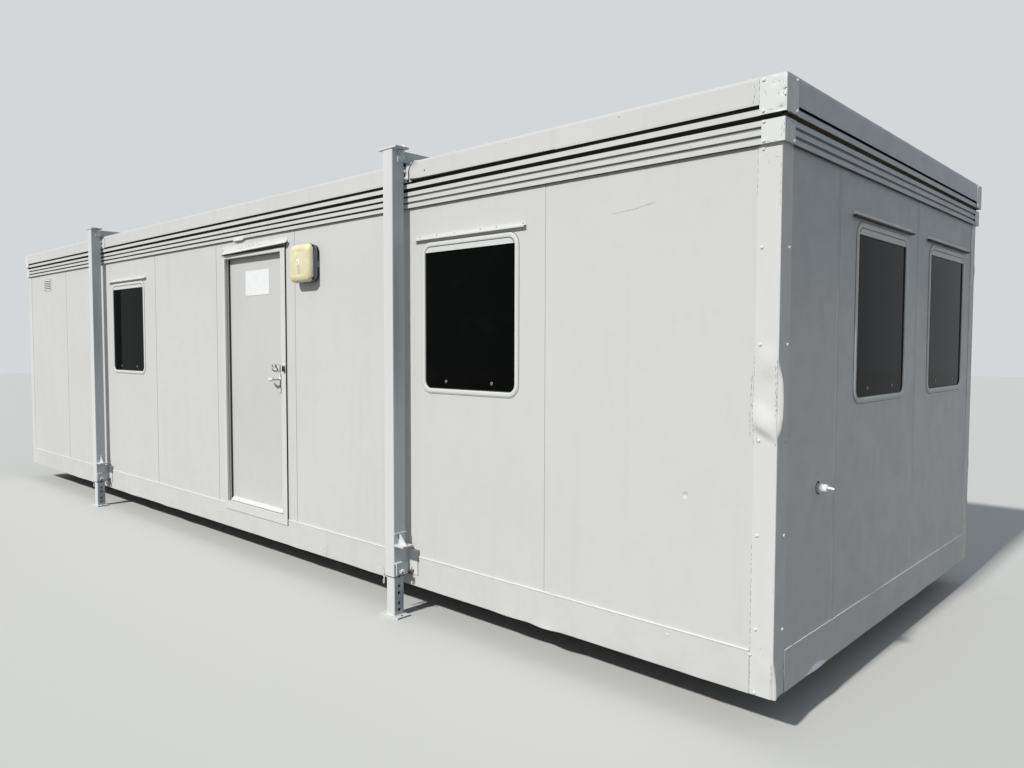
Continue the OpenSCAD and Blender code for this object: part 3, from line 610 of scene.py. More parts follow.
# Painted shade: brown-black lining under the band and in the ends' deep eaves gap.
EAVES_SHADE = Plastic("eaves_shade", (0.095, 0.085, 0.066), (0.050, 0.046, 0.040), roughness=0.85)
CRACK_PAINT = Paint("cracked_paint", (0.24, 0.245, 0.24), streaks=0.2, splash=0.0, rust=0.6, buckle=0.0)
BOLT_STEEL = Metal("bolt_steel", (0.56, 0.56, 0.54), rust=0.45, slot="cabin_paint")
PIN_STEEL = Metal("pin_steel", (0.76, 0.76, 0.74), metallic=0.25, rust=0.30, roughness=0.36)
CATCH_STEEL = Metal("catch_steel", (0.19, 0.195, 0.20), metallic=0.45, rust=0.2, roughness=0.45, slot="dark_plastic")
LOCK_STEEL = Metal("lock_steel", (0.90, 0.90, 0.89), metallic=0.10, rust=0.10, roughness=0.36, slot="lock_steel")
RUSTY_STEEL = Metal("rusty_steel", (0.11, 0.085, 0.07), metallic=0.30, rust=0.45, spread=0.30, roughness=0.66)
TINTED = Glass("tinted_glass", (0.0018, 0.0021, 0.0019), (0.050, 0.050, 0.046))
DARK_PLASTIC = Plastic("dark_plastic", (0.135, 0.150, 0.172), (0.190, 0.205, 0.230), roughness=0.5)
# Painted shade: near-black lining in slots, gaps, holes and round bolt feet.
PAINTED_SHADE_BLACK = Plastic("near_black_painted_shade", (0.008, 0.008, 0.009), (0.020, 0.018, 0.016), roughness=0.85)
# Black rubber, also used for painted shade: dark strips and pads that stand for shadow.
BLACK_RUBBER_AND_SHADE = Plastic("black_rubber_and_painted_shade", (0.014, 0.014, 0.015), (0.035, 0.035, 0.036), roughness=0.62)
LENS = Plastic(
    "yellowed_lens", (0.735, 0.685, 0.420), (0.790, 0.755, 0.560), roughness=0.30, soft=0.22, ribs=0.0006,
    slot="lens_plastic",
)
# Painted shadow: darker lens colour below the boss.
LENS_PAINTED_SHADOW = Plastic("lens_painted_shadow", (0.60, 0.565, 0.33), (0.66, 0.63, 0.42), roughness=0.4, slot="lens_plastic")
LENS_BOSS = Plastic("lens_boss", (0.84, 0.81, 0.58), (0.88, 0.86, 0.68), roughness=0.40, slot="lens_plastic")
WHITE_PLASTIC = Plastic("white_plastic", (0.86, 0.865, 0.865), (0.81, 0.81, 0.80), roughness=0.30, slot="white_plastic")
# Painted shade: the inlet's white flange painted pale blue-grey.
SHADED_INLET_PLASTIC = Plastic("inlet_plastic_painted_shade", (0.52, 0.60, 0.68), (0.46, 0.52, 0.58), roughness=0.4, slot="white_plastic")
SIGN_WHITE = Plastic("sign_white", (0.86, 0.865, 0.865), (0.80, 0.805, 0.80), roughness=0.34, slot="white_plastic")
TIMBER = Board("timber", (0.42, 0.29, 0.17), (0.30, 0.19, 0.10), stretch=(7.0, 0.6, 7.0))
FLOORING = Board("flooring", (0.26, 0.24, 0.22), (0.19, 0.175, 0.16), stretch=(0.7, 4.0, 4.0))
CEILING = Board("ceiling", (0.72, 0.72, 0.70), (0.66, 0.66, 0.64), stretch=(3.0, 3.0, 3.0))

NODE_FINISHES: dict[Finish, tuple[str, ...]] = {
    WALL_PAINT: ("base_rails", "front_wall", "rear_wall"),
    END_WALL_SHADE_PAINT: ("left_end_wall", "right_end_wall"),
    EDGE_PAINT: ("fascia_long", "ribbed_band_long"),
    END_EDGE_SHADE_PAINT: ("fascia_short", "ribbed_band_short"),
    TRIM_PAINT: ("door_frame", "weather_bar", "drip_strips", "vent"),
    ROOF_PAINT: ("roof_deck",),
    DOOR_PAINT: ("door_leaf",),
    FITTING_PAINT: ("lock_plates",),
    WINDOW_PAINT: ("window_hinge_bars",),
    LEG_PAINT: ("leg_outer_tubes", "leg_brackets", "roof_beams", "inner_leg"),
    PIN_STEEL: ("leg_pin",),
    TINTED: ("window_glass",),
    TIMBER: ("floor_joists", "roof_joists"),
    FLOORING: ("floor_deck",),
    CEILING: ("ceiling_panel",),
}

_materials: dict[str, bpy.types.Material] = {}


def material_of(finish: Finish) -> bpy.types.Material:
    """Gives a finish's material, made on first use.

    Args:
        finish: The finish.

    Returns:
        Its material.
    """
    if finish.name not in _materials:
        _materials[finish.name] = finish.material()
    return _materials[finish.name]


def dress_nodes(nodes: dict[str, bpy.types.Object]) -> None:
    """Puts the finishes on the nodes that stay as they are, told by how their names start.

    Args:
        nodes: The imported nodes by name.
    """
    for name, node in nodes.items():
        finish = next((f for f, starts in NODE_FINISHES.items() if name.startswith(starts)), None)
        if finish is None:
            continue
        material = material_of(finish)
        if not node.material_slots:
            node.data.materials.append(material)
        for slot in node.material_slots:
            slot.material = material
        log.info("node %s: %s", name, finish.name)


# Shapes


def rounded_outline(width: float, height: float, radius: float, steps: int = 8) -> list[tuple[float, float]]:
    """Draws a rectangle with round corners, centred, from the right side round to the left.

    Args:
        width: Full width.
        height: Full height.
        radius: Corner radius.
        steps: Segments in each corner.

    Returns:
        The corners' points in order.
    """
    points = []
    for turn, (sx, sy) in enumerate(((1, 1), (-1, 1), (-1, -1), (1, -1))):
        for i in range(steps + 1):
            angle = (turn + i / steps) * math.pi / 2
            points.append((
                sx * (width / 2 - radius) + radius * math.cos(angle),
                sy * (height / 2 - radius) + radius * math.sin(angle),
            ))
    return points


def cut_corners(a0: float, a1: float, b0: float, b1: float, cut: float) -> list[tuple[float, float]]:
    """Draws a rectangle with its corners cut off."""
    return [
        (a1, b0 + cut), (a1, b1 - cut), (a1 - cut, b1), (a0 + cut, b1),
        (a0, b1 - cut), (a0, b0 + cut), (a0 + cut, b0), (a1 - cut, b0),
    ]


def swell(value: float) -> float:
    """Smooth bump that is 1 at 0 and falls to 0 at -1 and 1."""
    return (1 - value * value) ** 2 if abs(value) < 1 else 0.0


def waver(x: float, y: float, z: float) -> float:
    """Gives smooth noise of about -1 to 1 at one place."""
    return noise.noise(Vector((x, y, z)))


def evenly(start: float, end: float, count: int) -> list[float]:
    """Gives even steps from the start to the end, with both of them."""
    return [start + (end - start) * k / count for k in range(count + 1)]


def shares(count: int) -> list[float]:
    """Gives even steps from 0 to 1, with both of them."""
    return [k / count for k in range(count + 1)]


def arc(count: int, turn: float = TURN) -> list[tuple[float, float]]:
    """Gives the cosine and sine at even steps of a turn, with both ends."""
    return [(math.cos(turn * k / count), math.sin(turn * k / count)) for k in range(count + 1)]


def strip_ring(along: float, low: float, high: float, back: float, front: float) -> list[Point]:
    """Draws the section of a strip that runs along a wall.

    Args:
        along: Place along the wall.
        low: Lower edge.
        high: Upper edge.
        back: Back face.
        front: Front face.

    Returns:
        Its four corners.
    """
    return [(along, low, back), (along, high, back), (along, high, front), (along, low, front)]


class Shape:
    """Faces of one piece, gathered in a wall's, a leg's or a corner's own axes."""

    def __init__(self, axes: Matrix) -> None:
        """Starts an empty piece.

        Args:
            axes: Matrix from the local axes to the part's frame.
        """
        self.axes = axes
        self.points: list[Vector] = []
        self.faces: list[list[int]] = []

    def loft(self, rings: Sequence[Sequence[Point]], loop: bool = False) -> None:
        """Joins rings of points into a skin, with an end face on the first and the last.

        Args:
            rings: Rings with the same number of points.
            loop: Joins the last ring to the first, with no end faces.
        """
        start, count = len(self.points), len(rings[0])
        for ring in rings:
            self.points.extend(self.axes @ Vector(p) for p in ring)
        for r in range(len(rings) if loop else len(rings) - 1):
            a, b = start + r * count, start + (r + 1) % len(rings) * count
            for k in range(count):
                n = (k + 1) % count
                self.faces.append([a + k, a + n, b + n, b + k])
        if not loop:
            last = start + (len(rings) - 1) * count
            self.faces.append([start + k for k in reversed(range(count))])
            self.faces.append([last + k for k in range(count)])

    def block(self, low: Point, high: Point, edge: float = 0.001) -> None:
        """Adds a block with chamfered edges.

        Args:
            low: Lowest corner.
            high: Highest corner.
            edge: Width of the chamfers.
        """
        (u0, v0, w0), (u1, v1, w1) = low, high
        inner = cut_corners(u0 + edge, u1 - edge, v0 + edge, v1 - edge, edge * 0.4)
        outer = cut_corners(u0, u1, v0, v1, edge)
        levels = ((inner, w0), (outer, w0 + edge), (outer, w1 - edge), (inner, w1))
        self.loft([[(u, v, w) for u, v in ring] for ring, w in levels])

    def stack(self, centre: Point, layers: Iterable[tuple[Sequence[Point], float]]) -> None:
        """Adds a plate built of flat outlines, one over the other.

        Args:
            centre: Where the outlines' middle lies, as (along, up).
            layers: Each outline round its centre, with its distance out of the wall.
        """
        self.loft([[(centre[0] + u, centre[1] + v, w) for u, v in outline] for outline, w in layers])

    def dashes(self, at: PointAt, length: float, seed: str, longest: float = 0.030, gap: float = 0.016,
               half: float = 0.0008) -> None:
        """Adds a broken line of thin raised dashes, as cracked paint or a dirty joint shows.

        Args:
            at: Gives the point for (distance along the line, distance across it, lift off the surface).
            length: Length of the line.
            seed: Seed of the dashes.
            longest: Longest dash.
            gap: Longest gap.
            half: Half the width of a dash.
        """
        rng = random.Random(seed)
        start = rng.uniform(0.0, gap)
        while start < length - 0.003:
            end = min(length, start + rng.uniform(0.3, 1.0) * longest)
            wide = half * rng.uniform(0.6, 1.25)
            count = max(2, round((end - start) / 0.005))
            rings = []
            for k in range(count + 1):
                place = start + (end - start) * k / count
                sway = half * 2.0 * waver(place * 55, length * 91, 3.0)
                thin = wide * (1 - 0.7 * abs(2 * k / count - 1))
                corners = ((-1, -0.0004), (1, -0.0004), (1, 0.0005), (-1, 0.0005))
                rings.append([at(place, sway + side * thin, lift) for side, lift in corners])
            self.loft(rings)
            start = end + rng.uniform(0.3, 1.0) * gap

    def cracks(self, start: Point, end: Point, seed: str, longest: float, gap: float, half: float = 0.0008) -> None:
        """Adds a broken line between two points of a wall, each (along, up, out).

        Args:
            start: Where the line starts.
            end: Where it ends.
            seed: Seed of the dashes.
            longest: Longest dash.
            gap: Longest gap.
            half: Half the width of a dash.
        """
        first, last = Vector(start), Vector(end)
        ahead = (last - first).normalized()
        side = Vector((0, 0, 1)).cross(ahead).normalized()

        def at(place: float, across: float, lift: float) -> Point:
            """Gives one point of the line."""
            return first + ahead * place + side * across + Vector((0, 0, lift))

        self.dashes(at, (last - first).length, seed, longest, gap, half)

    def turned(self, centre: Point, axis: Point, profile: Sequence[Point], sides: int = 24) -> None:
        """Adds a turned piece.

        Args:
            centre: Where the profile's zero lies.
            axis: Direction of the axis.
            profile: Pairs of (radius, distance along the axis).
            sides: Number of sides.
        """
        out = Vector(axis).normalized()
        right = out.orthogonal().normalized()
        up = out.cross(right)
        middle = Vector(centre)
        self.loft([
            [middle + out * along + (right * c + up * s) * radius for c, s in arc(sides)[:-1]]
            for radius, along in profile
        ])

    def wire(self, path: Sequence[Point], radius: float, sides: int = 10) -> None:
        """Adds a round wire or pipe along a path.

        Args:
            path: Points of its centre line.
            radius: Radius of the wire.
            sides: Number of sides.
        """
        points = [Vector(p) for p in path]
        side = (points[1] - points[0]).orthogonal().normalized()
        rings = []
        for i, point in enumerate(points):
            ahead = (points[min(i + 1, len(points) - 1)] - points[max(i - 1, 0)]).normalized()
            side = (side - ahead * side.dot(ahead)).normalized()
            other = ahead.cross(side)
            rings.append([point + (side * c + other * s) * radius for c, s in arc(sides)[:-1]])
        self.loft(rings)

    def sheet(self, outer: Sequence[Sequence[Point]], inner: Sequence[Sequence[Point]]) -> None:
        """Adds a sheet between two grids of points.

        Args:
            outer: Rows of points of the outer face.
            inner: Rows of points of the inner face.
        """
        rows, columns = len(outer), len(outer[0])
        start = len(self.points)
        for grid in (outer, inner):
            for row in grid:
                self.points.extend(self.axes @ Vector(p) for p in row)
        back = rows * columns

        def at(row: int, column: int, face: int) -> int:
            """Gives the index of one point."""
            return start + face * back + row * columns + column

        for r in range(rows - 1):
            for c in range(columns - 1):
                self.faces.append([at(r, c, 0), at(r, c + 1, 0), at(r + 1, c + 1, 0), at(r + 1, c, 0)])
                self.faces.append([at(r, c, 1), at(r + 1, c, 1), at(r + 1, c + 1, 1), at(r, c + 1, 1)])
        for r in range(rows - 1):
            for c in (0, columns - 1):
                self.faces.append([at(r, c, 0), at(r + 1, c, 0), at(r + 1, c, 1), at(r, c, 1)])
        for c in range(columns - 1):
            for r in (0, rows - 1):
                self.faces.append([at(r, c, 0), at(r, c + 1, 0), at(r, c + 1, 1), at(r, c, 1)])

    def skin(self, rows: Sequence[Sequence[Point]], inwards: Point, floor: float = -1.0) -> None:
        """Adds a sheet drawn by its outer face alone.

        Args:
            rows: Rows of points of the outer face.
            inwards: Step from the outer face to the inner one.
            floor: Lowest third coordinate of the inner face.
        """
        du, dv, dw = inwards
        self.sheet(rows, [[(u + du, v + dv, max(w + dw, floor)) for u, v, w in row] for row in rows])

    def drape(self, outer: Sequence[Point], inner: Sequence[Point], stations: Sequence[float], bent: PointAt) -> None:
        """Adds a long sheet of one section, moved by a function at each station.

        Args:
            outer: The outer face's section as (out, up).
            inner: The inner face's section.
            stations: Places along the wall.
            bent: Gives the point for (out, up, along).
        """
        self.sheet(*([[bent(w, v, u) for w, v in line] for u in stations] for line in (outer, inner)))

    def rivet(self, at: Point, out: Point, radius: float = 0.0075, height: float = 0.005) -> None:
        """Adds a domed rivet at a place, its head towards a direction."""
        dome = [(radius * wide, height * up) for wide, up in ((1.0, 0.25), (0.85, 0.65), (0.55, 0.92), (0.2, 1.0))]
        self.turned(at, out, [(radius * 1.05, -0.0005), *dome], 12)

    def washer(self, at: Point, out: Point, radius: float, thick: float, inner: float) -> None:
        """Adds a thin dark ring round a bolt's foot, a little thicker inside the inner radius, as painted shade."""
        self.turned(at, out, [(radius, -0.001), (radius, thick), (inner, thick + 0.0002)], 20)

    def bolt(self, at: Point, out: Point, radius: float, height: float) -> None:
        """Adds a washer with a chamfered hexagon head.

        Args:
            at: Middle of its foot.
            out: Direction of its head.
            radius: Radius over the hexagon's corners.
            height: Height of the head.
        """
        end = height + 0.005
        self.turned(at, out, [(radius * 1.45, -0.0005), (radius * 1.45, 0.002), (radius * 1.38, 0.0025)], 20)
        self.turned(at, out, [(radius, 0.002), (radius, height * 0.85), (radius * 0.86, height)], 6)
        self.turned(at, out, [(radius * 0.55, height), (radius * 0.55, end), (radius * 0.45, end + 0.001)], 12)

    def screw(self, at: Point, out: Point, radius: float = 0.0045) -> None:
        """Adds a small pan-head screw with a sunk middle, its head towards a direction."""
        dome = ((1.0, -0.0005), (1.0, 0.0008), (0.8, 0.002), (0.36, 0.0022), (0.3, 0.0012))
        self.turned(at, out, [(radius * wide, up) for wide, up in dome], 12)

    def place(self, name: str, finish: PieceFinish, body: str = "cabin", replaces: str = "", smooth: float = 32.0,
              slot: str = "") -> None:
        """Turns the faces into a piece of the part.

        Args:
            name: Name of the piece.
            finish: Its finish.
            body: The body it rides on.
            replaces: Node it stands for, if any.
            smooth: Largest angle in degrees that is shaded smooth.
            slot: The record's material slot, where it isn't the finish's own. Not used.
        """
        mesh = bpy.data.meshes.new(name)
        mesh.from_pydata([tuple(p) for p in self.points], [], self.faces)
        work = bmesh.new()
        work.from_mesh(mesh)
        bmesh.ops.recalc_face_normals(work, faces=work.faces)
        work.to_mesh(mesh)
        work.free()
        mesh.shade_smooth()
        mesh.set_sharp_from_angle(angle=math.radians(smooth))
        mesh.materials.append(material_of(finish))
        piece = bpy.data.objects.new(name, mesh)
        bpy.context.scene.collection.objects.link(piece)
        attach(piece, body)
        slot or finish.slot
        if replaces:
            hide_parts(replaces)
        log.info("piece %s: %d faces on %s", name, len(mesh.polygons), body)


# Sub-assemblies


@dataclass(frozen=True)
class Assembly:
    """A sub-assembly, placed by the cabin's planes."""

    site: Site

    def on(self, wall: Wall) -> Shape:
        """Starts a piece in a wall's axes."""
        return Shape(self.site.axes(wall))

    def build(self) -> None:
        """Builds the sub-assembly's pieces."""
        raise NotImplementedError


# Folded sheet at the corners


@dataclass(frozen=True)
class Dent:
    """One dent or bulge in a folded angle.

    The place is (distance round the sheet from the fold, negative on the long wall; height).
    The push is (along the long wall, along the end wall), inwards positive. The slant is the
    fall of the dent's middle with the distance round the sheet; below its middle its rise is
    shortened by the steepness.
    """

    around: float
    up: float
    reach: float
    rise: float
    push: tuple[float, float]
    slant: float = 0.0
    steep: float = 1.0

    def at(self, around: float, up: float) -> tuple[float, float]:
        """Gives the push at one place of the sheet.

        Args:
            around: Distance round the sheet from the fold, negative on the long wall.
            up: Height over the rail's underside.

        Returns:
            The push along the long wall and along the end wall.
        """
        over = up - self.up + self.slant * (around - self.around)
        rise = self.rise * (self.steep if over < 0 else 1.0)
        share = swell((around - self.around) / self.reach) * swell(over / rise)
        return self.push[0] * share, self.push[1] * share


@dataclass(frozen=True)
class FoldedAngle:
    """A folded angle of sheet round one corner, with its dents and the rivets down both legs."""

    leg: float
    low: float
    high: float
    over: float
    rivets: tuple[float, ...]
    rivet_in: float
    dents: Sequence[Dent]
    seed: float
    thick: float = 0.0025
    step: float = 0.010
    fold: float = 0.004
    ripple: float = 0.0006
    short: float = 0.020

    def surface(self, around: float, up: float, inset: float) -> tuple[float, float, float]:
        """Gives one point of the sheet.

        Args:
            around: Distance round the sheet from the fold, negative on the long wall.
            up: Height over the rail's underside.
            inset: Depth under the outer face.

        Returns:
            The point in the corner's axes.
        """
        if abs(around) < self.fold:
            angle = (around / self.fold + 1) * math.pi / 4
            p = self.fold - (self.fold - inset) * math.sin(angle)
            q = self.fold - (self.fold - inset) * math.cos(angle)
        elif around < 0:
            p, q = -around, inset
        else:
            p, q = inset, around
        wave = waver(around * 9, up * 3.1, self.seed) + 0.4
        lift = self.ripple * wave * min(1.0, abs(around) / self.leg)
        p, q = (p, q - lift) if around < 0 else (p - lift, q)
        for dent in self.dents:
            dp, dq = dent.at(around, up)
            p, q = p + dp, q + dq
        return p, q, up

    def build(self, shape: Shape) -> None:
        """Adds the sheet to a shape in the corner's axes.

        Args:
            shape: The piece being made.
        """
        heights = evenly(self.low, self.high, max(2, round((self.high - self.low) / self.step)))
        flat = [self.leg * k / 16 for k in range(16, 3, -1)]
        near = [0.0200, 0.0160, 0.0130, 0.0105, 0.0080, 0.0060, self.fold, self.fold * 0.6, self.fold * 0.2]
        arounds = [-a for a in flat] + [-a for a in near] + near[::-1] + flat[::-1]
        shape.sheet(*([[self.surface(a, z, inset) for a in arounds] for z in heights] for inset in (0.0, self.thick)))

    def crack(self, shape: Shape, start: Point, end: Point, half: float) -> None:
        """Adds a broken dark line over the sheet.

        Args:
            shape: The piece being made, in the corner's axes.
            start: Where the line starts, as (around, up).
            end: Where it ends.
            half: Half the width of the dashes.
        """
        first, last = Vector((start[0], start[1])), Vector((end[0], end[1]))
        ahead = (last - first).normalized()

        def at(place: float, across: float, lift: float) -> Point:
            """Gives one point of the line."""
            spot = first + ahead * place + Vector((-ahead.y, ahead.x)) * across
            return self.surface(spot.x, spot.y, -lift)

        length = (last - first).length
        shape.dashes(at, length, f"crack {start} {end}", gap=0.016 if length > self.short else 0.0, half=half)

    def fasten(self, shape: Shape) -> None:
        """Adds the rivets to a shape in the same axes.

        Args:
            shape: The piece being made.
        """
        place = self.leg - self.rivet_in
        for up in self.rivets:
            for around in (-place, place):
                shape.rivet(self.surface(around, up, 0.0), (0, -1, 0) if around < 0 else (-1, 0, 0))


@dataclass(frozen=True)
class Corners(Assembly):
    """Corner trims of the walls and the caps of the fascia and the ribbed band."""

    trim_leg: float = 0.1025
    cap_leg: float = 0.115
    band_leg: float = 0.100
    trim_over: float = 0.0025
    cap_over: float = 0.0275
    band_over: float = 0.0185
    rivet_first: float = 0.28
    rivet_pitch: float = 0.3975
    rivet_low: float = 0.010
    trim_rivet_in: float = 0.0225
    cap_rivet_in: float = 0.0176
    cover_rivet_in: float = 0.011
    cap_lift: float = 0.020
    cracks: ClassVar[dict[str, tuple[tuple[Point, Point, float], ...]]] = {
        "trim": (
            ((-0.0060, 1.20), (-0.0045, 1.415), 0.0009), ((-0.0120, 1.39), (-0.0075, 1.18), 0.0009),
            ((-0.0120, 1.392), (-0.0125, 1.366), 0.0020), ((-0.0085, 1.262), (-0.0085, 1.254), 0.0024),
            ((-0.092, 1.128), (-0.080, 1.124), 0.0007), ((-0.0105, 1.078), (-0.0075, 1.058), 0.0022),
            ((-0.1120, 1.36), (-0.1170, 1.24), 0.0008), ((-0.1190, 1.222), (-0.1040, 1.226), 0.0009),
            ((-0.1200, 1.20), (-0.1190, 1.09), 0.0006), ((-0.0062, 0.160), (-0.0078, 0.004), 0.0011),
            ((0.078, 1.072), (0.080, 1.064), 0.0030), ((0.073, 1.474), (0.074, 1.466), 0.0022),
            ((-0.088, 1.070), (-0.072, 1.069), 0.0012), ((-0.0875, 1.086), (-0.0885, 1.071), 0.0010),
            ((-0.1030, 1.44), (-0.1030, 1.06), 0.0009), ((-0.1030, 0.64), (-0.1030, 0.19), 0.0011),
            ((-0.1030, 0.17), (-0.1030, 0.004), 0.0010), ((0.1020, 0.20), (0.1020, 0.004), 0.0010),
            ((-0.1030, 2.275), (-0.1030, 2.08), 0.0007), ((-0.0088, 0.15), (-0.0095, 0.008), 0.0010),
            ((-0.070, 2.255), (-0.050, 2.195), 0.0007), ((-0.0050, 2.21), (-0.0060, 2.03), 0.0006),
            ((-0.075, 0.300), (-0.045, 0.302), 0.0006), ((-0.060, 0.215), (-0.040, 0.175), 0.0006),
            ((-0.0060, 0.48), (-0.0060, 0.44), 0.0006), ((-0.040, 2.235), (-0.010, 2.225), 0.0006),
        ),
        "cap": (
            ((-0.1160, 2.545), (-0.1160, 2.405), 0.0007), ((-0.085, 2.417), (-0.030, 2.411), 0.0008),
            ((-0.034, 2.5220), (-0.0345, 2.5165), 0.0018), ((-0.037, 2.4730), (-0.038, 2.4670), 0.0020),
            ((-0.0135, 2.4820), (-0.0010, 2.4890), 0.0040), ((-0.0135, 2.4840), (-0.0130, 2.4660), 0.0028),
            ((-0.0330, 2.4150), (-0.0150, 2.4205), 0.0036), ((-0.020, 2.530), (-0.016, 2.508), 0.0006),
            ((-0.065, 2.523), (-0.047, 2.513), 0.0006), ((-0.095, 2.500), (-0.083, 2.470), 0.0005),
            ((0.030, 2.540), (0.028, 2.470), 0.0007), ((0.045, 2.535), (0.060, 2.522), 0.0009),
            ((0.020, 2.470), (0.070, 2.478), 0.0006), ((0.1160, 2.535), (0.1160, 2.405), 0.0009),
        ),
        "cover": (
            ((-0.0020, 2.360), (-0.0060, 2.315), 0.0014), ((0.0010, 2.376), (0.0085, 2.352), 0.0042),
            ((0.0060, 2.352), (0.0020, 2.322), 0.0020), ((0.0100, 2.376), (0.0700, 2.372), 0.0016),
            ((-0.012, 2.352), (-0.016, 2.300), 0.0006), ((-0.090, 2.292), (-0.030, 2.289), 0.0007),
            ((0.040, 2.372), (0.090, 2.366), 0.0010), ((0.092, 2.370), (0.092, 2.300), 0.0009),
        ),
    }

    def damage(self, place: Place) -> dict[str, list[Dent]]:
        """Lists the dents of one corner.

        Args:
            place: Which corner.

        Returns:
            Dents of the trim and of the cap.
        """
        if place is Place.FRONT_RIGHT:
            return {
                "trim": [
                    Dent(-0.058, 1.134, 0.080, 0.110, (0.0, -0.0160), 0.50, 0.42),
                    Dent(-0.055, 1.300, 0.060, 0.080, (0.0, 0.0020)),
                    Dent(-0.045, 1.400, 0.055, 0.085, (0.0, -0.0060)),
                    Dent(-0.1025, 1.230, 0.030, 0.160, (0.004, 0.0)),
                    Dent(0.0130, 1.300, 0.0125, 0.110, (-0.0150, 0.0)),
                    Dent(0.0130, 1.185, 0.0125, 0.110, (-0.0150, 0.0), 0.0, 1.05),
                    Dent(0.0130, 1.118, 0.0125, 0.036, (-0.0025, 0.0)),
                    Dent(0.0400, 1.220, 0.0400, 0.150, (-0.0100, 0.0)),
                    Dent(-0.0045, 1.262, 0.0040, 0.150, (0.0, 0.0020)),
                    Dent(0.0000, 1.255, 0.0045, 0.160, (0.0035, 0.0035)),
                    Dent(0.0110, 0.030, 0.0110, 0.150, (-0.0100, 0.0)),
                    Dent(0.0300, -0.030, 0.0300, 0.190, (-0.0050, 0.0)),
                    Dent(-0.0085, -0.010, 0.0045, 0.170, (0.0, 0.0060)),
                    Dent(0.0000, -0.020, 0.0045, 0.190, (0.0030, 0.0030)),
                    Dent(-0.045, 0.120, 0.030, 0.070, (0.0, -0.002)),
                ],
                "cap": [
                    Dent(-0.010, 2.477, 0.014, 0.014, (0.003, 0.005)),
                    Dent(-0.024, 2.413, 0.026, 0.014, (0.0, 0.005)),
                    Dent(-0.0020, 2.548, 0.012, 0.012, (0.004, 0.004)),
                    Dent(-0.045, 2.550, 0.020, 0.008, (0.0, 0.003)),
                    Dent(-0.050, 2.52, 0.020, 0.016, (0.0, 0.0025)),
                    Dent(-0.036, 2.47, 0.016, 0.014, (0.0, 0.002)),
                ],
            }
        rng = random.Random(f"corner {place.value}")
        trim = [
            Dent(rng.uniform(-0.02, 0.02), rng.uniform(0.2, 2.0), 0.03, rng.uniform(0.03, 0.09), (-0.003, -0.003))
            for _ in range(3)
        ]
        cap = [Dent(rng.uniform(-0.05, 0.05), rng.uniform(2.42, 2.52), 0.02, 0.016, (-0.0015, -0.0015))]
        return {"trim": trim, "cap": cap}

    def sheets(self, number: int, place: Place) -> dict[str, FoldedAngle]:
        """Draws the three folded sheets of one corner.

        Args:
            number: The corner's number.
            place: Which corner.

        Returns:
            The wall's trim, the fascia's cap and the band's cover.
        """
        site, dents = self.site, self.damage(place)
        band, eaves, top = (z - site.base for z in (site.band, site.eaves, site.top))
        trim_rivets = (self.rivet_low, *(self.rivet_first + self.rivet_pitch * i for i in range(6)))
        cap_rivets, cover_rivets = (eaves + 0.033, top - 0.014), (band + 0.010, eaves - 0.008)
        wall_seed, roof_seed = number * 7.3, number * 3.1 + 50
        return {
            "trim": FoldedAngle(
                self.trim_leg, 0.0, band, self.trim_over, trim_rivets, self.trim_rivet_in, dents["trim"], wall_seed
            ),
            "cap": FoldedAngle(
                self.cap_leg, eaves + self.cap_lift, top, self.cap_over, cap_rivets, self.cap_rivet_in, dents["cap"],
                roof_seed,
            ),
            "cover": FoldedAngle(
                self.band_leg, band, eaves, self.band_over, cover_rivets, self.cover_rivet_in, (), roof_seed
            ),
        }

    def build(self) -> None:
        """Builds the four corners."""
        for number, place in enumerate(Place):
            heads = Shape(self.site.corner(place, self.trim_over))
            sheets = self.sheets(number, place)
            for name, angle in sheets.items():
                sheet = Shape(self.site.corner(place, angle.over))
                angle.build(sheet)
                if name == "trim":
                    sheet.place(f"corner_trim_{place.value}", TRIM_PAINT, replaces="corner_trims", smooth=24)
                else:
                    piece = f"roof_corner_{name}_{place.value}"
                    sheet.place(piece, CAP_PAINT, replaces="roof_corner_caps", smooth=24)
                heads.axes = sheet.axes
                angle.fasten(heads)
            heads.place(f"corner_rivets_{place.value}", CAP_PAINT)
            if place is Place.FRONT_RIGHT:
                for name, angle in sheets.items():
                    self.wear(name, angle)
                self.tag()

    def tag(self) -> None:
        """Builds the torn scrap of sheet that stands out beside the fold of the near cap."""
        rows = []
        for share in shares(6):
            up = 2.4600 + 0.0190 * share
            near, far = 0.0020 + 0.0030 * share, 0.0105 - 0.0020 * share
            out = -0.0050 * (1 - share) ** 1.5 - 0.0006
            rows.append([(near, out, up), ((near + far) / 2, out * 1.3, up), (far, out * 0.5, up)])
        shape = Shape(self.site.corner(Place.FRONT_RIGHT, self.cap_over))
        shape.skin(rows, (0, 0.0012, 0))
        shape.place("roof_cap_torn_tag", SCUFF_AND_HIGHLIGHT_PAINT, smooth=20)

    def wear(self, name: str, angle: FoldedAngle) -> None:
        """Builds the cracked paint of one folded sheet of the near corner.

        Args:
            name: Which sheet it is.
            angle: The sheet.
        """
        shape = Shape(self.site.corner(Place.FRONT_RIGHT, angle.over))
        for start, end, half in self.cracks[name]:
            angle.crack(shape, start, end, half)
        shape.place(f"corner_cracks_{name}", CRACK_PAINT)


# Base rails


@dataclass(frozen=True)
class Bulge:
    """A place where the rail's facing is knocked outwards, strongest at its lower edge.

    The lip is how far the lowest strip alone is flared out.
    """

    along: float
    reach: float
    depth: float
    lip: float = 0.0


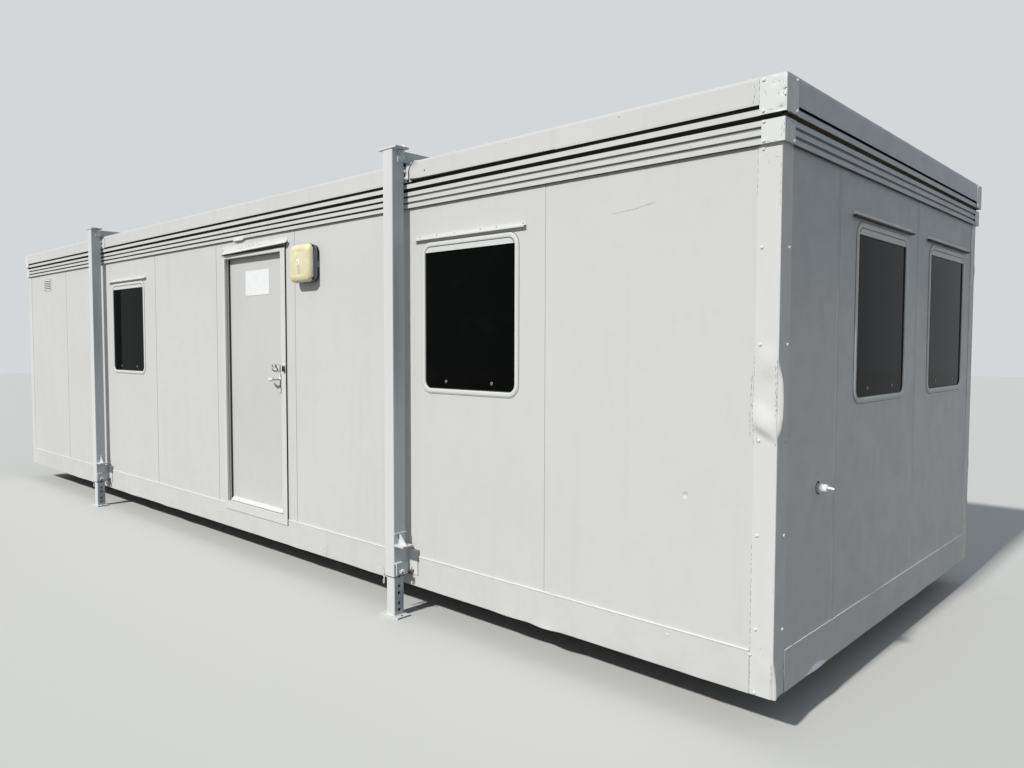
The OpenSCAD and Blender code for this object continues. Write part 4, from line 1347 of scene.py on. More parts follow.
@dataclass(frozen=True)
class RailFacings(Assembly):
    """Folded facing sheets over the base rails, with a rolled edge along the top."""

    height: float = 0.180
    proud: float = 0.0032
    sheet: float = 0.0012
    bead: float = 0.0042
    seam: float = 1.58
    seam_gap: float = 0.001
    end_gap: float = 0.1035
    step: float = 0.022
    lip: float = 0.024
    scraped: tuple[float, float] = (-1.190, -0.965)
    bolts: tuple[tuple[float, float], ...] = (
        (0.025, 0.099), (4.701, 0.168), (4.30, 0.150), (1.50, 0.035), (1.66, 0.035), (2.172, 0.038)
    )

    def section(self) -> list[tuple[float, float]]:
        """Draws the facing's outer line, from its lower edge to its rolled top.

        Returns:
            Its points as (out, up).
        """
        line = [(-0.012, -0.0012), (self.proud + 0.0005, -0.0014)]
        line += [(self.proud + 0.0012, up) for up in (0.004, 0.012, self.lip)]
        line += [(self.proud + 0.0012, self.height * k) for k in (0.25, 0.4, 0.6, 0.8, 0.95, 1.0)]
        return line

    def rolled(self, size: float) -> list[tuple[float, float]]:
        """Draws the outer line of the rolled top as (out, up).

        Args:
            size: Radius of the roll.

        Returns:
            The line's points.
        """
        angles = [math.radians(-88 + k * 30) for k in range(8)]
        return [(self.proud + size * math.cos(a) * 0.9, self.height + size * (1 + math.sin(a))) for a in angles]

    def run(self, wall: Wall, start: float, end: float, name: str, *bulges: Bulge) -> None:
        """Builds one length of facing.

        Args:
            wall: The wall it lies on.
            start: Left end along the wall.
            end: Right end along the wall.
            name: Name of the piece.
            bulges: Where it is knocked about.
        """
        stations = evenly(start, end, max(4, round((end - start) / self.step)))
        seed = hash_of(name)

        def bent(w: float, v: float, u: float) -> Point:
            """Moves one point of the facing where it is knocked about.

            Args:
                w: Distance out of the wall.
                v: Height over the rail's underside.
                u: Place along the wall.

            Returns:
                The moved point.
            """
            low = max(0.0, 1 - max(v, 0.0) / self.height) ** 2
            edge = max(0.0, 1 - max(v, 0.0) / self.lip) * (w > 0)
            push = sum((b.depth * low + b.lip * edge) * swell((u - b.along) / b.reach) for b in bulges)
            wave = 0.0009 * (waver(u * 2.3, v * 5, seed) + 0.5)
            drop = -0.25 * push + 0.0012 * waver(u * 4.1, 3.0, seed) * low
            rough = max(0.0, (v - self.height) / 0.008)
            worn = 0.35 + swell((u - 3.72) / 0.30) + swell((u - 2.85) / 0.34) + swell((u + 1.02) / 0.30)
            knock = 0.0048 * worn * rough * waver(u * 17.0, 8.0, seed)
            return u, v + drop + knock, w + push + wave + abs(knock)

        # On the ends the rolled top gets the bluish white paint, a painted highlight.
        sheet, bead = (WALL_PAINT, CAP_PAINT) if wall.long else (END_WALL_SHADE_PAINT, SCUFF_AND_HIGHLIGHT_PAINT)
        rolled = self.rolled(self.bead if wall.long else self.bead * 0.6)
        for suffix, line, finish in (("", self.section(), sheet), ("_bead", rolled, bead)):
            inner = [(w - self.sheet, v + (self.sheet if v < 0 else 0.0)) for w, v in line]
            shape = self.on(wall)
            shape.drape(line, inner, stations, bent)
            shape.place(f"{name}{suffix}", finish, smooth=40)

    def build(self) -> None:
        """Builds the facings of the four walls."""
        half, side = self.site.half_length - self.end_gap, self.site.half_width - self.end_gap
        left, right = self.seam - self.seam_gap, self.seam + self.seam_gap
        far = (Bulge(-1.75, 0.22, 0.006), Bulge(-0.95, 0.20, 0.005), Bulge(-3.2, 0.2, 0.003), Bulge(1.2, 0.15, 0.003))
        near = (
            Bulge(3.30, 0.16, 0.005), Bulge(3.56, 0.12, 0.007, 0.003), Bulge(4.45, 0.10, 0.002), Bulge(2.05, 0.3, 0.002)
        )
        end = (Bulge(-1.07, 0.12, 0.001, 0.002), Bulge(0.4, 0.2, 0.002))
        self.run(Wall.FRONT, -half, left, "rail_facing_front_left", *far)
        self.run(Wall.FRONT, right, half, "rail_facing_front_right", *near)
        self.run(Wall.REAR, -half, -right, "rail_facing_rear_left", Bulge(-3.0, 0.3, 0.004))
        self.run(Wall.REAR, -left, half, "rail_facing_rear_right", Bulge(1.0, 0.4, 0.003))
        self.run(Wall.RIGHT, -side, side, "rail_facing_right", *end)
        self.run(Wall.LEFT, -side, side, "rail_facing_left", Bulge(0.3, 0.3, 0.003))
        bolts = self.on(Wall.FRONT)
        for spot in self.bolts:
            bolts.rivet((*spot, self.proud + 0.001), (0, 0, 1), 0.0065, 0.004)
        bolts.place("rail_bolts", CAP_PAINT)
        self.scuff()

    def scuff(self) -> None:
        """Builds the scraped patch on the flared lip of the right end's facing."""
        start, end = self.scraped
        rows = []
        for k, share in enumerate(shares(24)):
            high = 0.0060 + 0.0230 * swell(1.9 * share - 1.05)
            u = start + (end - start) * share
            push = 0.0045 * swell((u + 1.07) / 0.12)
            face = self.proud + 0.0022 + 0.0006 * (k % 3)
            heights = (high, high * 0.6 + 0.0006, high * 0.3, 0.0010)
            rows.append([(u, v, face + push * max(0.0, 1 - v / self.lip)) for v in heights])
        shape = self.on(Wall.RIGHT)
        shape.skin(rows, (0, 0, -0.0014))
        shape.place("rail_scuff_right", SCUFF_AND_HIGHLIGHT_PAINT, smooth=30)


def hash_of(name: str) -> float:
    """Gives a steady number for a name."""
    return sum(ord(c) * (i + 3) for i, c in enumerate(name)) % 977 / 7.0


# Roof edge


@dataclass(frozen=True)
class RoofEdge(Assembly):
    """Fascia sheets with their seams, the curled sheet beside the near leg, and the roof's seams."""

    over: float = 0.025
    sheet: float = 0.0012
    low: float = 2.4425
    end_drop: float = 0.005
    cap_leg: float = 0.115
    seams: tuple[float, ...] = (-2.29, 0.06, 2.50)
    curl_at: float = 2.5320
    curl: float = 0.019
    step: float = 0.05
    slot: tuple[float, float, float] = (2.4256, 2.4414, 0.0112)
    gap: tuple[float, float, float] = (2.3806, 2.3994, 0.0004)
    worn_rib: tuple[float, float] = (0.345, 0.525)
    grooves: tuple[tuple[float, float], ...] = ((2.3084, 2.3216), (2.3444, 2.3576))
    groove_back: float = 0.0070
    rivet_up: float = 2.531
    rivets_along: tuple[float, ...] = (4.02, 3.30, 0.30, -0.9, -2.9, -4.0)
    rear_seam: float = 1.6
    seam_first: float = -3.9
    seam_pitch: float = 1.3
    seam_count: int = 7
    seam_size: tuple[float, float] = (0.022, 0.006)
    roof_rise: float = 0.012

    def fascia(self, wall: Wall, start: float, end: float, name: str, curl: float = 0.0) -> None:
        """Builds one fascia sheet with its folded lower and upper edges.

        Args:
            wall: The wall it lies on.
            start: Left end along the wall.
            end: Right end along the wall.
            name: Name of the piece.
            curl: How far its left edge is curled outwards.
        """
        top = self.site.top - self.site.base
        low = self.low if wall.long else self.low - self.end_drop
        face = self.over + self.sheet
        line = [(self.over - 0.010, low - 0.0008), (self.over + 0.0006, low - 0.0008), (face, low + 0.002)]
        line += [(face, up) for up in evenly(low, top, 8)[1:-1]]
        line += [(face, top - 0.001), (self.over + 0.0004, top + 0.0012), (self.over - 0.045, top + 0.0012)]
        inner = [(w - self.sheet, v) for w, v in line[:-2]]
        inner += [(line[-2][0] - self.sheet, top), (line[-1][0], top)]
        stations = evenly(start, end, max(6, round((end - start) / self.step)))
        if curl:
            stations = [start + 0.006 * k for k in range(14)] + [s for s in stations if s > start + 0.09]
        seed = hash_of(name)

        def bent(w: float, v: float, u: float) -> Point:
            """Moves one point of the sheet where it is curled or waved.

            Args:
                w: Distance out of the wall.
                v: Height over the rail's underside.
                u: Place along the wall.

            Returns:
                The moved point.
            """
            front = 1.0 if w > self.over - 0.008 else 0.0
            wave = 0.0011 * front * (waver(u * 1.7, v * 4, seed) + 0.45)
            share = self.curled(u) if curl else 0.0
            shape = swell((v - self.low - 0.045) / 0.085)
            lean = self.lean(v) * max(0.0, 1 - (u - start) / 0.09) if curl else 0.0
            out = w + wave + curl * share * (0.70 + 0.30 * shape) * front
            return u - 0.35 * curl * share * (1 - shape) + lean, v, out

        piece = self.on(wall)
        piece.drape(line, inner, stations, bent)
        piece.place(name, EDGE_PAINT if wall.long else END_EDGE_SHADE_PAINT, smooth=40)

    def curled(self, along: float) -> float:
        """Gives how strongly the curled sheet stands out at one place along it."""
        return max(0.0, 1 - (along - self.curl_at) / 0.075) ** 2

    def lean(self, up: float) -> float:
        """Gives how far the curled sheet's left edge leans to the right at one height."""
        return 0.044 * min(1.0, max(0.0, (up - 2.495) / 0.052)) ** 2

    def roof_seams(self) -> None:
        """Builds the raised seams of the roof sheet."""
        (width, height), rise = self.seam_size, self.roof_rise
        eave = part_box("roof_deck")[1].z - rise
        shape = Shape(Matrix.Identity(4))
        span = self.site.half_width - 0.022
        for k in range(self.seam_count):
            x = self.site.middle + self.seam_first + k * self.seam_pitch
            section = ((-width / 2, 0.0), (-width / 4, height), (width / 4, height), (width / 2, 0.0))
            shape.loft([
                [(x + across, y, eave + rise * (1 - abs(y) / span) - 0.001 + up) for across, up in section]
                for y in (-span, -span / 2, 0.0, span / 2, span)
            ])
        shape.place("roof_sheet_seams", ROOF_PAINT)

    def build(self) -> None:
        """Builds the roof edge of the four walls."""
        half = self.site.half_length + self.over - self.cap_leg + 0.004
        side = self.site.half_width + self.over - self.cap_leg + 0.004
        for number, (start, end) in enumerate(zip((-half, *self.seams), self.seams)):
            self.fascia(Wall.FRONT, start, end - 0.0015, f"fascia_sheet_front_{number}")
        self.fascia(Wall.FRONT, self.curl_at, half, f"fascia_sheet_front_{len(self.seams)}", self.curl)
        rear = (-half, -self.rear_seam, self.rear_seam, half)
        for number, (start, end) in enumerate(zip(rear, rear[1:])):
            self.fascia(Wall.REAR, start + 0.0008, end - 0.0008, f"fascia_sheet_rear_{number}")
        self.fascia(Wall.RIGHT, -side, side, "fascia_sheet_right")
        self.fascia(Wall.LEFT, -side, side, "fascia_sheet_left")
        self.rivets()
        for wall in Wall:
            self.joints(wall)
        self.cracks()
        self.curl_and_groove_shade()
        self.bent_rib()
        self.roof_seams()

    def rivets(self) -> None:
        """Builds the rivets along the top of the front fascia and along the band's ribs."""
        heads = self.on(Wall.FRONT)
        for along in self.rivets_along:
            heads.rivet((along, self.rivet_up, self.over + self.sheet), (0, 0, 1), 0.0055, 0.003)
        band = self.site.band - self.site.base + 0.011
        for k in range(-7, 8):
            heads.rivet((k * 0.62 + 0.05, band + (k % 2) * 0.036, 0.016), (0, 0, 1), 0.004, 0.002)
        heads.place("fascia_rivets", EDGE_PAINT)

    def joints(self, wall: Wall) -> None:
        """Builds painted shade: dark strips at the back of the slot and of the deep gap, dark linings under the eaves
        gap and under the band, and a dark lining in the band's grooves.

        Args:
            wall: The wall it lies on.
        """
        half = self.site.half_length if wall.long else self.site.half_width
        # Painted shade in three pieces: near-black strips, brown-black linings and the grooves' dark lining.
        shape, dirt, shade_coat = self.on(wall), self.on(wall), self.on(wall)
        deep = shape if wall.long else dirt
        # Painted shade: a near-black strip at the back of the slot, and one at the back of the deep gap, brown-black on
        # the ends.
        for (low, high, back), strip in ((self.slot, shape), (self.gap, deep)):
            end = half + back + 0.002
            strip.block((-end, low, back), (end, high, back + 0.002), 0.0004)
        # Painted shade: a lining under the eaves gap, near-black on the long walls and brown-black on the ends, and a
        # brown-black one under the band's lower edge.
        soffit, reach = half + 0.021, half - 0.090
        over, under = self.gap[1], self.grooves[0][0] - 0.0224
        deep.block((-soffit, over - 0.0010, 0.0004), (soffit, over + 0.0002, 0.0205), 0.0003)
        dirt.block((-reach, under - 0.0012, 0.0004), (reach, under + 0.0002, 0.0156), 0.0003)
        shape.place(f"slot_and_gap_shade_{wall.value}", PAINTED_SHADE_BLACK)
        dirt.place(f"eaves_shade_{wall.value}", EAVES_SHADE)
        # Painted shade: a dark lining at the back of the band's grooves.
        end = half + self.groove_back
        for low, high in self.grooves:
            shade_coat.block((-end, low, self.groove_back - 0.0002), (end, high, self.groove_back + 0.0008), 0.0003)
        shade_coat.place(f"band_groove_painted_shade_{wall.value}", GROOVE_SHADE_PAINT)

    def cracks(self) -> None:
        """Builds the cracked paint of the fascia beside the near cap and of the ribs over the door."""
        shape = self.on(Wall.FRONT)
        face = self.over + self.sheet + 0.0011
        edge = self.site.half_length + 0.0275 - self.cap_leg
        shape.cracks((edge - 0.030, 2.546, face), (edge - 0.018, 2.500, face), "fascia high", 0.020, 0.010)
        shape.cracks((edge - 0.018, 2.498, face), (edge - 0.030, 2.450, face), "fascia low", 0.020, 0.010)
        shape.cracks((0.40, 2.290, 0.0166), (0.52, 2.296, 0.0166), "scuffed rib", 0.020, 0.014, 0.0011)
        shape.cracks((0.34, 2.330, 0.0166), (0.47, 2.336, 0.0166), "middle rib", 0.018, 0.020, 0.0016)
        shape.cracks((0.40, 2.318, 0.0166), (0.46, 2.364, 0.0166), "torn rib", 0.022, 0.006, 0.0022)
        shape.place("fascia_cracks", CRACK_PAINT)

    def curl_and_groove_shade(self) -> None:
        """Builds painted shade: dark edges along the curled sheet, dark patches by its lug and a darker lining deep in
        the band's grooves; and a dark dot on the fascia.
        """
        dark = self.on(Wall.FRONT)
        heights = [self.low + 0.001 + 0.0100 * k for k in range(11)]
        dark.wire([(self.curl_at - 0.0205 + self.lean(up), up, self.over + 0.0075) for up in heights], 0.0042, 8)
        rings = []
        for share in shares(48):
            high = self.low + 0.0072 * (1 - share) ** 0.7 + 0.0006
            u = self.curl_at + 0.004 + 1.10 * share ** 1.5
            w = self.over + self.sheet + 0.0014 + self.curl * self.curled(u) * 0.95
            rings.append(strip_ring(u, self.low - 0.0010, high, w - 0.0014, w + 0.0010))
        dark.loft(rings)
        dark.turned((2.6465, 2.4855, self.over), (0, 0, 1), [(0.0044, 0.0), (0.0044, 0.0042), (0.0030, 0.0048)], 12)
        lug = self.curl_at - 0.071
        dark.block((lug, 2.5285, 0.0306), (lug + 0.020, 2.5475, 0.0322), 0.0004)
        dark.block((lug + 0.024, 2.4362, 0.0306), (lug + 0.050, 2.4520, 0.0322), 0.0004)
        start, back = -self.site.half_length, self.groove_back
        for low, high in self.grooves:
            dark.block((start, low + 0.0004, back + 0.0006), (2.30, high - 0.0004, back + 0.0014), 0.0003)
        dark.place("fascia_curl_shade", PAINTED_SHADE_BLACK)

    def bent_rib(self) -> None:
        """Builds the lip of the lowest rib where it is knocked down over the door."""
        start, end = self.worn_rib
        rows = []
        for share in shares(24):
            rough = 0.0016 * waver(share * 9.0, 1.0, 6.0)
            drop = 0.0125 * min(1.0, 2.2 * swell((share - 0.42) / 0.60)) + rough
            out = 0.0172 + 0.0050 * swell((share - 0.40) / 0.50)
            u = start + (end - start) * share
            rows.append([
                (u, 2.306, 0.0170), (u, 2.292, 0.0172), (u, 2.2865 - drop * 0.5, out), (u, 2.2862 - drop, out - 0.0012),
                (u, 2.2870 - drop, out - 0.008),
            ])
        shape = self.on(Wall.FRONT)
        shape.skin(rows, (0, 0.0008, -0.0014))
        shape.place("band_bent_lip", CAP_PAINT, smooth=30)


# Panel joints


@dataclass(frozen=True)
class PanelJoints(Assembly):
    """Thin sealing strips beside the joints of the wall panels."""

    low: float = 0.192
    high: float = 2.284
    width: float = 0.0145
    thick: float = 0.0009
    along_long: tuple[float, ...] = (-3.495, -2.320, -1.145, 0.030, 1.205, 2.380, 3.555)
    along_short: tuple[float, ...] = (-0.895, 0.280)

    def build(self) -> None:
        """Builds the strips of the four walls."""
        for wall in (Wall.FRONT, Wall.REAR, Wall.RIGHT, Wall.LEFT):
            shape = self.on(wall)
            side = 1 if wall in (Wall.FRONT, Wall.RIGHT) else -1
            for place in self.along_long if wall.long else self.along_short:
                edge = place * side - 0.0022
                shape.block((edge - self.width, self.low, -0.0003), (edge, self.high, self.thick), 0.0003)
            shape.place(f"panel_strips_{wall.value}", WALL_PAINT if wall.long else END_WALL_SHADE_PAINT)


# Windows


@dataclass(frozen=True)
class Window(Assembly):
    """One window: its rounded frame, gasket, catches and the screws of its drip strip."""

    wall: Wall
    along: float
    number: int
    width: float = 0.780
    height: float = 0.885
    foot: float = 1.185
    radius: float = 0.075
    rim: float = 0.029
    proud: float = 0.006
    glass_in: float = 0.004
    glass: float = 0.006
    rebate: float = 0.012
    lap: float = 0.016
    back: float = 0.066
    bar: float = 0.032
    catch_spread: float = 0.370
    catch_up: float = 0.072
    drip_up: float = 0.899
    drip_half: float = 0.442
    screws: tuple[float, ...] = (-0.405, -0.257, -0.103, 0.102, 0.226, 0.420)

    @property
    def name(self) -> str:
        """The wall and the window's number."""
        return f"{self.wall.value}_{self.number}"

    def ring(self, offset: float, out: float) -> list[tuple[float, float, float]]:
        """Gives one line round the frame.

        Args:
            offset: Distance outside the sash opening.
            out: Distance out of the wall.

        Returns:
            The line's points.
        """
        inner_w, inner_h = self.width - 2 * self.rim, self.height - 2 * self.rim
        corner = self.radius - self.rim
        outline = rounded_outline(inner_w + 2 * offset, inner_h + 2 * offset, corner + offset, 10)
        middle = self.foot + self.height / 2
        return [(self.along + x, middle + y, out) for x, y in outline]

    def frame_section(self) -> list[tuple[float, float]]:
        """Draws the frame's profile.

        Returns:
            Its points as (offset from the sash opening, out).
        """
        face, seat = self.proud, -self.glass_in - self.glass
        tube = self.rim - self.lap - 0.0003
        return [
            (self.rim, 0.0002), (self.rim, 0.0022), (self.rim - 0.0035, 0.0026), (self.rim - 0.0050, face - 0.0010),
            (self.rim - 0.0085, face), (0.009, face), (0.0045, face - 0.0006), (0.0012, face - 0.0025), (0.0, 0.0),
            (0.0, seat), (-self.rebate, seat), (-self.rebate, -self.back), (tube, -self.back), (tube, 0.0002),
        ]

    def build(self) -> None:
        """Builds the window's details."""
        frame = self.on(self.wall)
        frame.loft([self.ring(a, w) for a, w in self.frame_section()], loop=True)
        frame.place(f"window_frame_{self.name}", WINDOW_PAINT, replaces="window_frames", smooth=50)
        seal = self.on(self.wall)
        glass, rim = -self.glass_in, self.rim
        for lines in (
            ((0.0, glass - 0.001), (0.0, glass + 0.0022), (-0.0016, glass + 0.0030), (-0.0042, glass + 0.0018),
             (-0.0052, glass - 0.001)),
            ((rim + 0.0022, 0.0), (rim + 0.0020, 0.0012), (rim - 0.001, 0.0016), (rim - 0.001, 0.0)),
        ):
            seal.loft([self.ring(a, w) for a, w in lines], loop=True)
        seal.place(f"window_gasket_{self.name}", BLACK_RUBBER_AND_SHADE, smooth=50)
        self.catches()
        self.drip_screws()
        self.joint_and_shade_lines()

    def joint_and_shade_lines(self) -> None:
        """Builds the dark joint round the hinge bar and, on the ends, painted shade under the drip strip."""
        shape = self.on(self.wall)
        lowest = self.foot + self.height - self.rim - self.bar
        shape.wire([p for p in self.ring(-0.0010, 0.0034) if p[1] > lowest], 0.0016, 6)
        # Painted shade: a dark block under the drip strip's overhang on the ends.
        if not self.wall.long:
            left, right, foot = self.along - self.drip_half, self.along + self.drip_half, self.foot + self.drip_up
            shape.block((left, foot - 0.0010, 0.0006), (right, foot + 0.0065, 0.0228), 0.0004)
        shape.place(f"window_joint_and_shade_{self.name}", BLACK_RUBBER_AND_SHADE)

    def catches(self) -> None:
        """Builds the two round catches at the foot of the pane."""
        knob = (
            (0.0102, -0.0004), (0.0102, 0.0008), (0.0092, 0.0014), (0.0086, 0.0030), (0.0070, 0.0038),
            (0.0035, 0.0040),
        )
        handle = (
            (0.0110, 0.0), (0.0110, 0.0020), (0.0060, 0.0030), (0.0060, 0.0060), (0.0105, 0.0075), (0.0105, 0.0110),
            (0.0070, 0.0120),
        )
        shape = self.on(self.wall)
        for side in (-1, 1):
            u, v = self.along + side * self.catch_spread / 2, self.foot + self.catch_up
            shape.turned((u, v, -self.glass_in), (0, 0, 1), knob, 20)
            shape.turned((u, v, -self.glass_in - self.glass), (0, 0, -1), handle, 20)
        shape.place(f"window_catches_{self.name}", CATCH_STEEL, replaces="window_catches")

    def drip_screws(self) -> None:
        """Builds the screws of the drip strip over the window."""
        shape = self.on(self.wall)
        for offset in self.screws:
            shape.screw((self.along + offset, self.foot + self.drip_up + 0.021, 0.002), (0, 0, 1))
        shape.place(f"drip_screws_{self.name}", BOLT_STEEL)


# Doorway


@dataclass(frozen=True)
class Doorway(Assembly):
    """Rain hood, sign plate, seals, lever handles, padlock and screws of the door."""

    left: float = 0.190
    right: float = 1.026
    sill: float = 0.206
    head: float = 2.148
    leaf_in: float = 0.038
    leaf: float = 0.044
    stop_gap: float = 0.005
    frame_proud: float = 0.012
    hasp_out: float = 0.0122
    hood_ends: tuple[float, float] = (0.134, 1.104)
    hood_shear: tuple[float, float] = (1.75, 1.65)
    hood_root: float = 2.244
    hood_out: float = 0.040
    hood_lip: tuple[float, float] = (2.178, 2.196)
    spindle: float = 0.930
    lever_up: float = 1.213
    plate_up: float = 1.184
    frame_box: tuple[float, float, float] = (1.087, 0.143, 2.190)
    lever_out: float = 0.074
    lever_reach: float = 0.0945
    sign: tuple[float, float, float, float] = (0.434, 0.787, 1.848, 2.039)
    hasp_at: tuple[float, float] = (0.8735, 1.2975)
    padlock_at: tuple[float, float] = (1.0715, 1.3245)
    bar_screws: tuple[float, ...] = (0.25, 0.43, 0.61, 0.79, 0.94)
    plate_screws: tuple[tuple[float, float], ...] = (
        (0.930, 1.250), (0.930, 1.118), (0.842, 1.313), (0.842, 1.282), (0.905, 1.313), (0.905, 1.282)
    )

    def build(self) -> None:
        """Builds every piece of the doorway."""
        self.hood()
        self.hood_shade_and_cracks()
        self.seals()
        self.lock_shade_and_marks()
        self.sign_plate()
        self.levers()
        self.padlock()
        self.fasteners()

    def hood(self) -> None:
        """Builds the scuffed rain hood, with its sheet bent at both ends."""
        (left, right), (lip_left, lip_right), (shear_left, shear_right) = self.hood_ends, self.hood_lip, self.hood_shear
        rows = []
        for share in shares(60):
            lip = lip_left + (lip_right - lip_left) * share
            wave = 0.0020 * waver(share * 7.0, 0.3, 4.2)
            wave += 0.0012 * waver(share * 21.0, 0.3, 9.2)
            lift = 0.016 * max(0.0, (share - 0.955) / 0.045) ** 2
            out = (self.hood_out + wave) * (1 - 0.45 * max(0.0, (share - 0.93) / 0.07))
            root = self.hood_root + 0.004 * waver(share * 5.0, 2.3, 7.7)
            shear = shear_left + (shear_right - shear_left) * share
            line = [
                (0.0003, root + 0.001), (0.0012, root - 0.002), (0.0030, root - 0.018), (0.0042, lip + 0.026 + wave),
                (0.0085, lip + 0.0145 + lift * 0.2), (0.0160, lip + 0.0100 + lift * 0.4),
                (out * 0.85, lip + 0.0075 + lift * 0.8), (out - 0.0006, lip + 0.0050 + lift),
                (out, lip + 0.0025 + lift), (out - 0.001, lip + lift),
            ]
            rows.append([(left + (right - left) * share + shear * w, v, w) for w, v in line])
        shape = self.on(Wall.FRONT)
        shape.skin(rows, (0, -0.0012, -0.0022), 0.0)
        shape.place("door_hood_sheet", TRIM_PAINT, replaces="door_hood", smooth=28)
        nib = self.on(Wall.FRONT)
        start, out = left + 0.072, self.hood_out
        nib.wire([
            (start - back, lip_left + up, out - inwards)
            for back, up, inwards in ((0.0, 0.005, 0.003), (0.020, 0.007, 0.005), (0.062, 0.010, 0.008))
        ], 0.0020, 8)
        nib.place("door_hood_frayed_end", CAP_PAINT)

    def hood_shade_and_cracks(self) -> None:
        """Builds the painted shadow under the rain hood, on the frame's top and on the wall above it, and the cracks of
        its paint.
        """
        # Painted shadow: a dark strip with a ragged lower edge along the frame's top, and one on the wall above it.
        hood_shadow = self.on(Wall.FRONT)
        left, (jamb, _, top) = self.hood_ends[0] + 0.016, self.frame_box
        back, front = self.frame_proud - 0.0004, self.frame_proud + 0.0008
        rings = []
        for share in shares(40):
            low = top - 0.0165 - 0.0050 * share + 0.0040 * waver(share * 9.0, 6.1, 2.7)
            rings.append(strip_ring(left + (jamb - left - 0.002) * share, low, top - 0.0002, back, front))
        hood_shadow.loft(rings)
        hood_shadow.block((left, top + 0.0004, 0.0002), (jamb + 0.006, top + 0.0140, 0.0012), 0.0003)
        hood_shadow.place("door_hood_painted_shadow", BLACK_RUBBER_AND_SHADE)
        marks = self.on(Wall.FRONT)
        high = self.hood_lip[0] + 0.042
        for start, end, seed, *widths in (
            ((0.38, high - 0.006, 0.0046), (0.86, high + 0.004, 0.0046), "hood low marks", 0.022, 0.050, 0.0024),
            ((0.44, high + 0.012, 0.0034), (0.70, high + 0.016, 0.0034), "hood high marks", 0.016, 0.070, 0.0022),
            ((left, high + 0.010, 0.0046), (left + 0.006, high - 0.012, 0.0046), "hood left mark", 0.022, 0.0, 0.0032),
        ):
            marks.cracks(start, end, seed, *widths)
        marks.place("door_hood_cracks", CRACK_PAINT)

    def seals(self) -> None:
        """Builds the dark rubber strips between leaf and stops, and painted shade: dark strips along the frame's right
        side, under its foot and in the left reveal.
        """
        left, right, sill, head = self.left, self.right, self.sill, self.head
        out, back = -self.leaf_in + self.stop_gap - 0.0002, -self.leaf_in + 0.0012
        front = out + 0.011
        shape = self.on(Wall.FRONT)
        for side, edge in ((1, left), (-1, right)):
            low, high = sorted((edge - side * 0.008, edge + side * 0.0012))
            shape.block((low, sill + 0.004, back), (high, head - 0.001, out), 0.0005)
            low, high = sorted((edge, edge + side * 0.0016))
            shape.block((low, sill + 0.004, out - 0.0004), (high, head - 0.001, front), 0.0005)
        shape.block((left, head - 0.0012, back), (right, head + 0.008, out), 0.0005)
        shape.block((left, head - 0.0016, out - 0.0004), (right, head, front), 0.0005)
        # Painted shade: dark strips on the frame's right side, under its foot and in the left reveal.
        jamb, foot, top = self.frame_box
        rim, proud = jamb + 0.0016, self.frame_proud
        shape.block((jamb, foot - 0.0014, 0.0004), (rim, top, proud - 0.0016), 0.0004)
        shape.block((left - 0.042, foot - 0.0022, 0.0036), (rim, foot, proud - 0.002), 0.0004)
        for deep in (0.0100, 0.0250):
            shape.block((left - 0.0002, sill + 0.006, -deep), (left + 0.0010, head - 0.002, -deep + 0.0035), 0.0003)
        shape.place("door_seals_and_shade", BLACK_RUBBER_AND_SHADE)

    def lock_shade_and_marks(self) -> None:
        """Builds the gaskets behind the lock plates, whose dark rims are painted shade, a dark strip of painted shade
        on the back plate's right edge, and the dark marks on the hasp.
        """
        face = -self.leaf_in
        behind = self.on(Wall.FRONT)
        for size, centre in (
            ((0.0435, 0.153, 0.006, 4), (self.spindle + 0.0004, self.plate_up)),
            ((0.086, 0.052, 0.003, 3), self.hasp_at),
        ):
            outline = rounded_outline(*size)
            behind.stack(centre, ((outline, face - 0.0002), (outline, face + 0.0022)))
        # Painted shade: a dark strip on the right edge of the lever's back plate.
        edge = self.spindle + 0.0192
        low, high = self.plate_up - 0.074, self.plate_up + 0.068
        behind.block((edge - 0.0095, low, face), (edge, high, face + 0.0050), 0.0004)
        behind.place("lock_plate_shade_gaskets", BLACK_RUBBER_AND_SHADE, body="door")
        marks = self.on(Wall.FRONT)
        for *ends, half in (
            ((0.8350, 1.3205), (0.8350, 1.2985), 0.0024), ((0.8350, 1.2900), (0.8350, 1.2760), 0.0028),
            ((0.8370, 1.2755), (0.8900, 1.2755), 0.0018), ((0.8440, 1.3110), (0.8560, 1.3000), 0.0014),
            ((0.8740, 1.3210), (0.8900, 1.2980), 0.0026), ((0.8930, 1.3180), (0.8780, 1.3010), 0.0024),
            ((0.8840, 1.3080), (0.8860, 1.2960), 0.0036), ((0.9020, 1.2960), (0.9110, 1.2790), 0.0028),
            ((0.8980, 1.2780), (0.9120, 1.2770), 0.0020),
        ):
            marks.wire([(*spot, face + self.hasp_out) for spot in ends], half, 6)
        marks.place("hasp_marks", BLACK_RUBBER_AND_SHADE, body="door")

    def sign_plate(self) -> None:
        """Builds the bare white plate on the leaf."""
        u0, u1, v0, v1 = self.sign
        face = -self.leaf_in
        outline = rounded_outline(u1 - u0, v1 - v0, 0.006, 5)
        smaller = rounded_outline(u1 - u0 - 0.0024, v1 - v0 - 0.0024, 0.005, 5)
        shape = self.on(Wall.FRONT)
        layers = ((outline, face - 0.0005), (outline, face + 0.0018), (smaller, face + 0.0026))
        shape.stack(((u0 + u1) / 2, (v0 + v1) / 2), layers)
        shape.place("door_sign_plate", SIGN_WHITE, body="door")

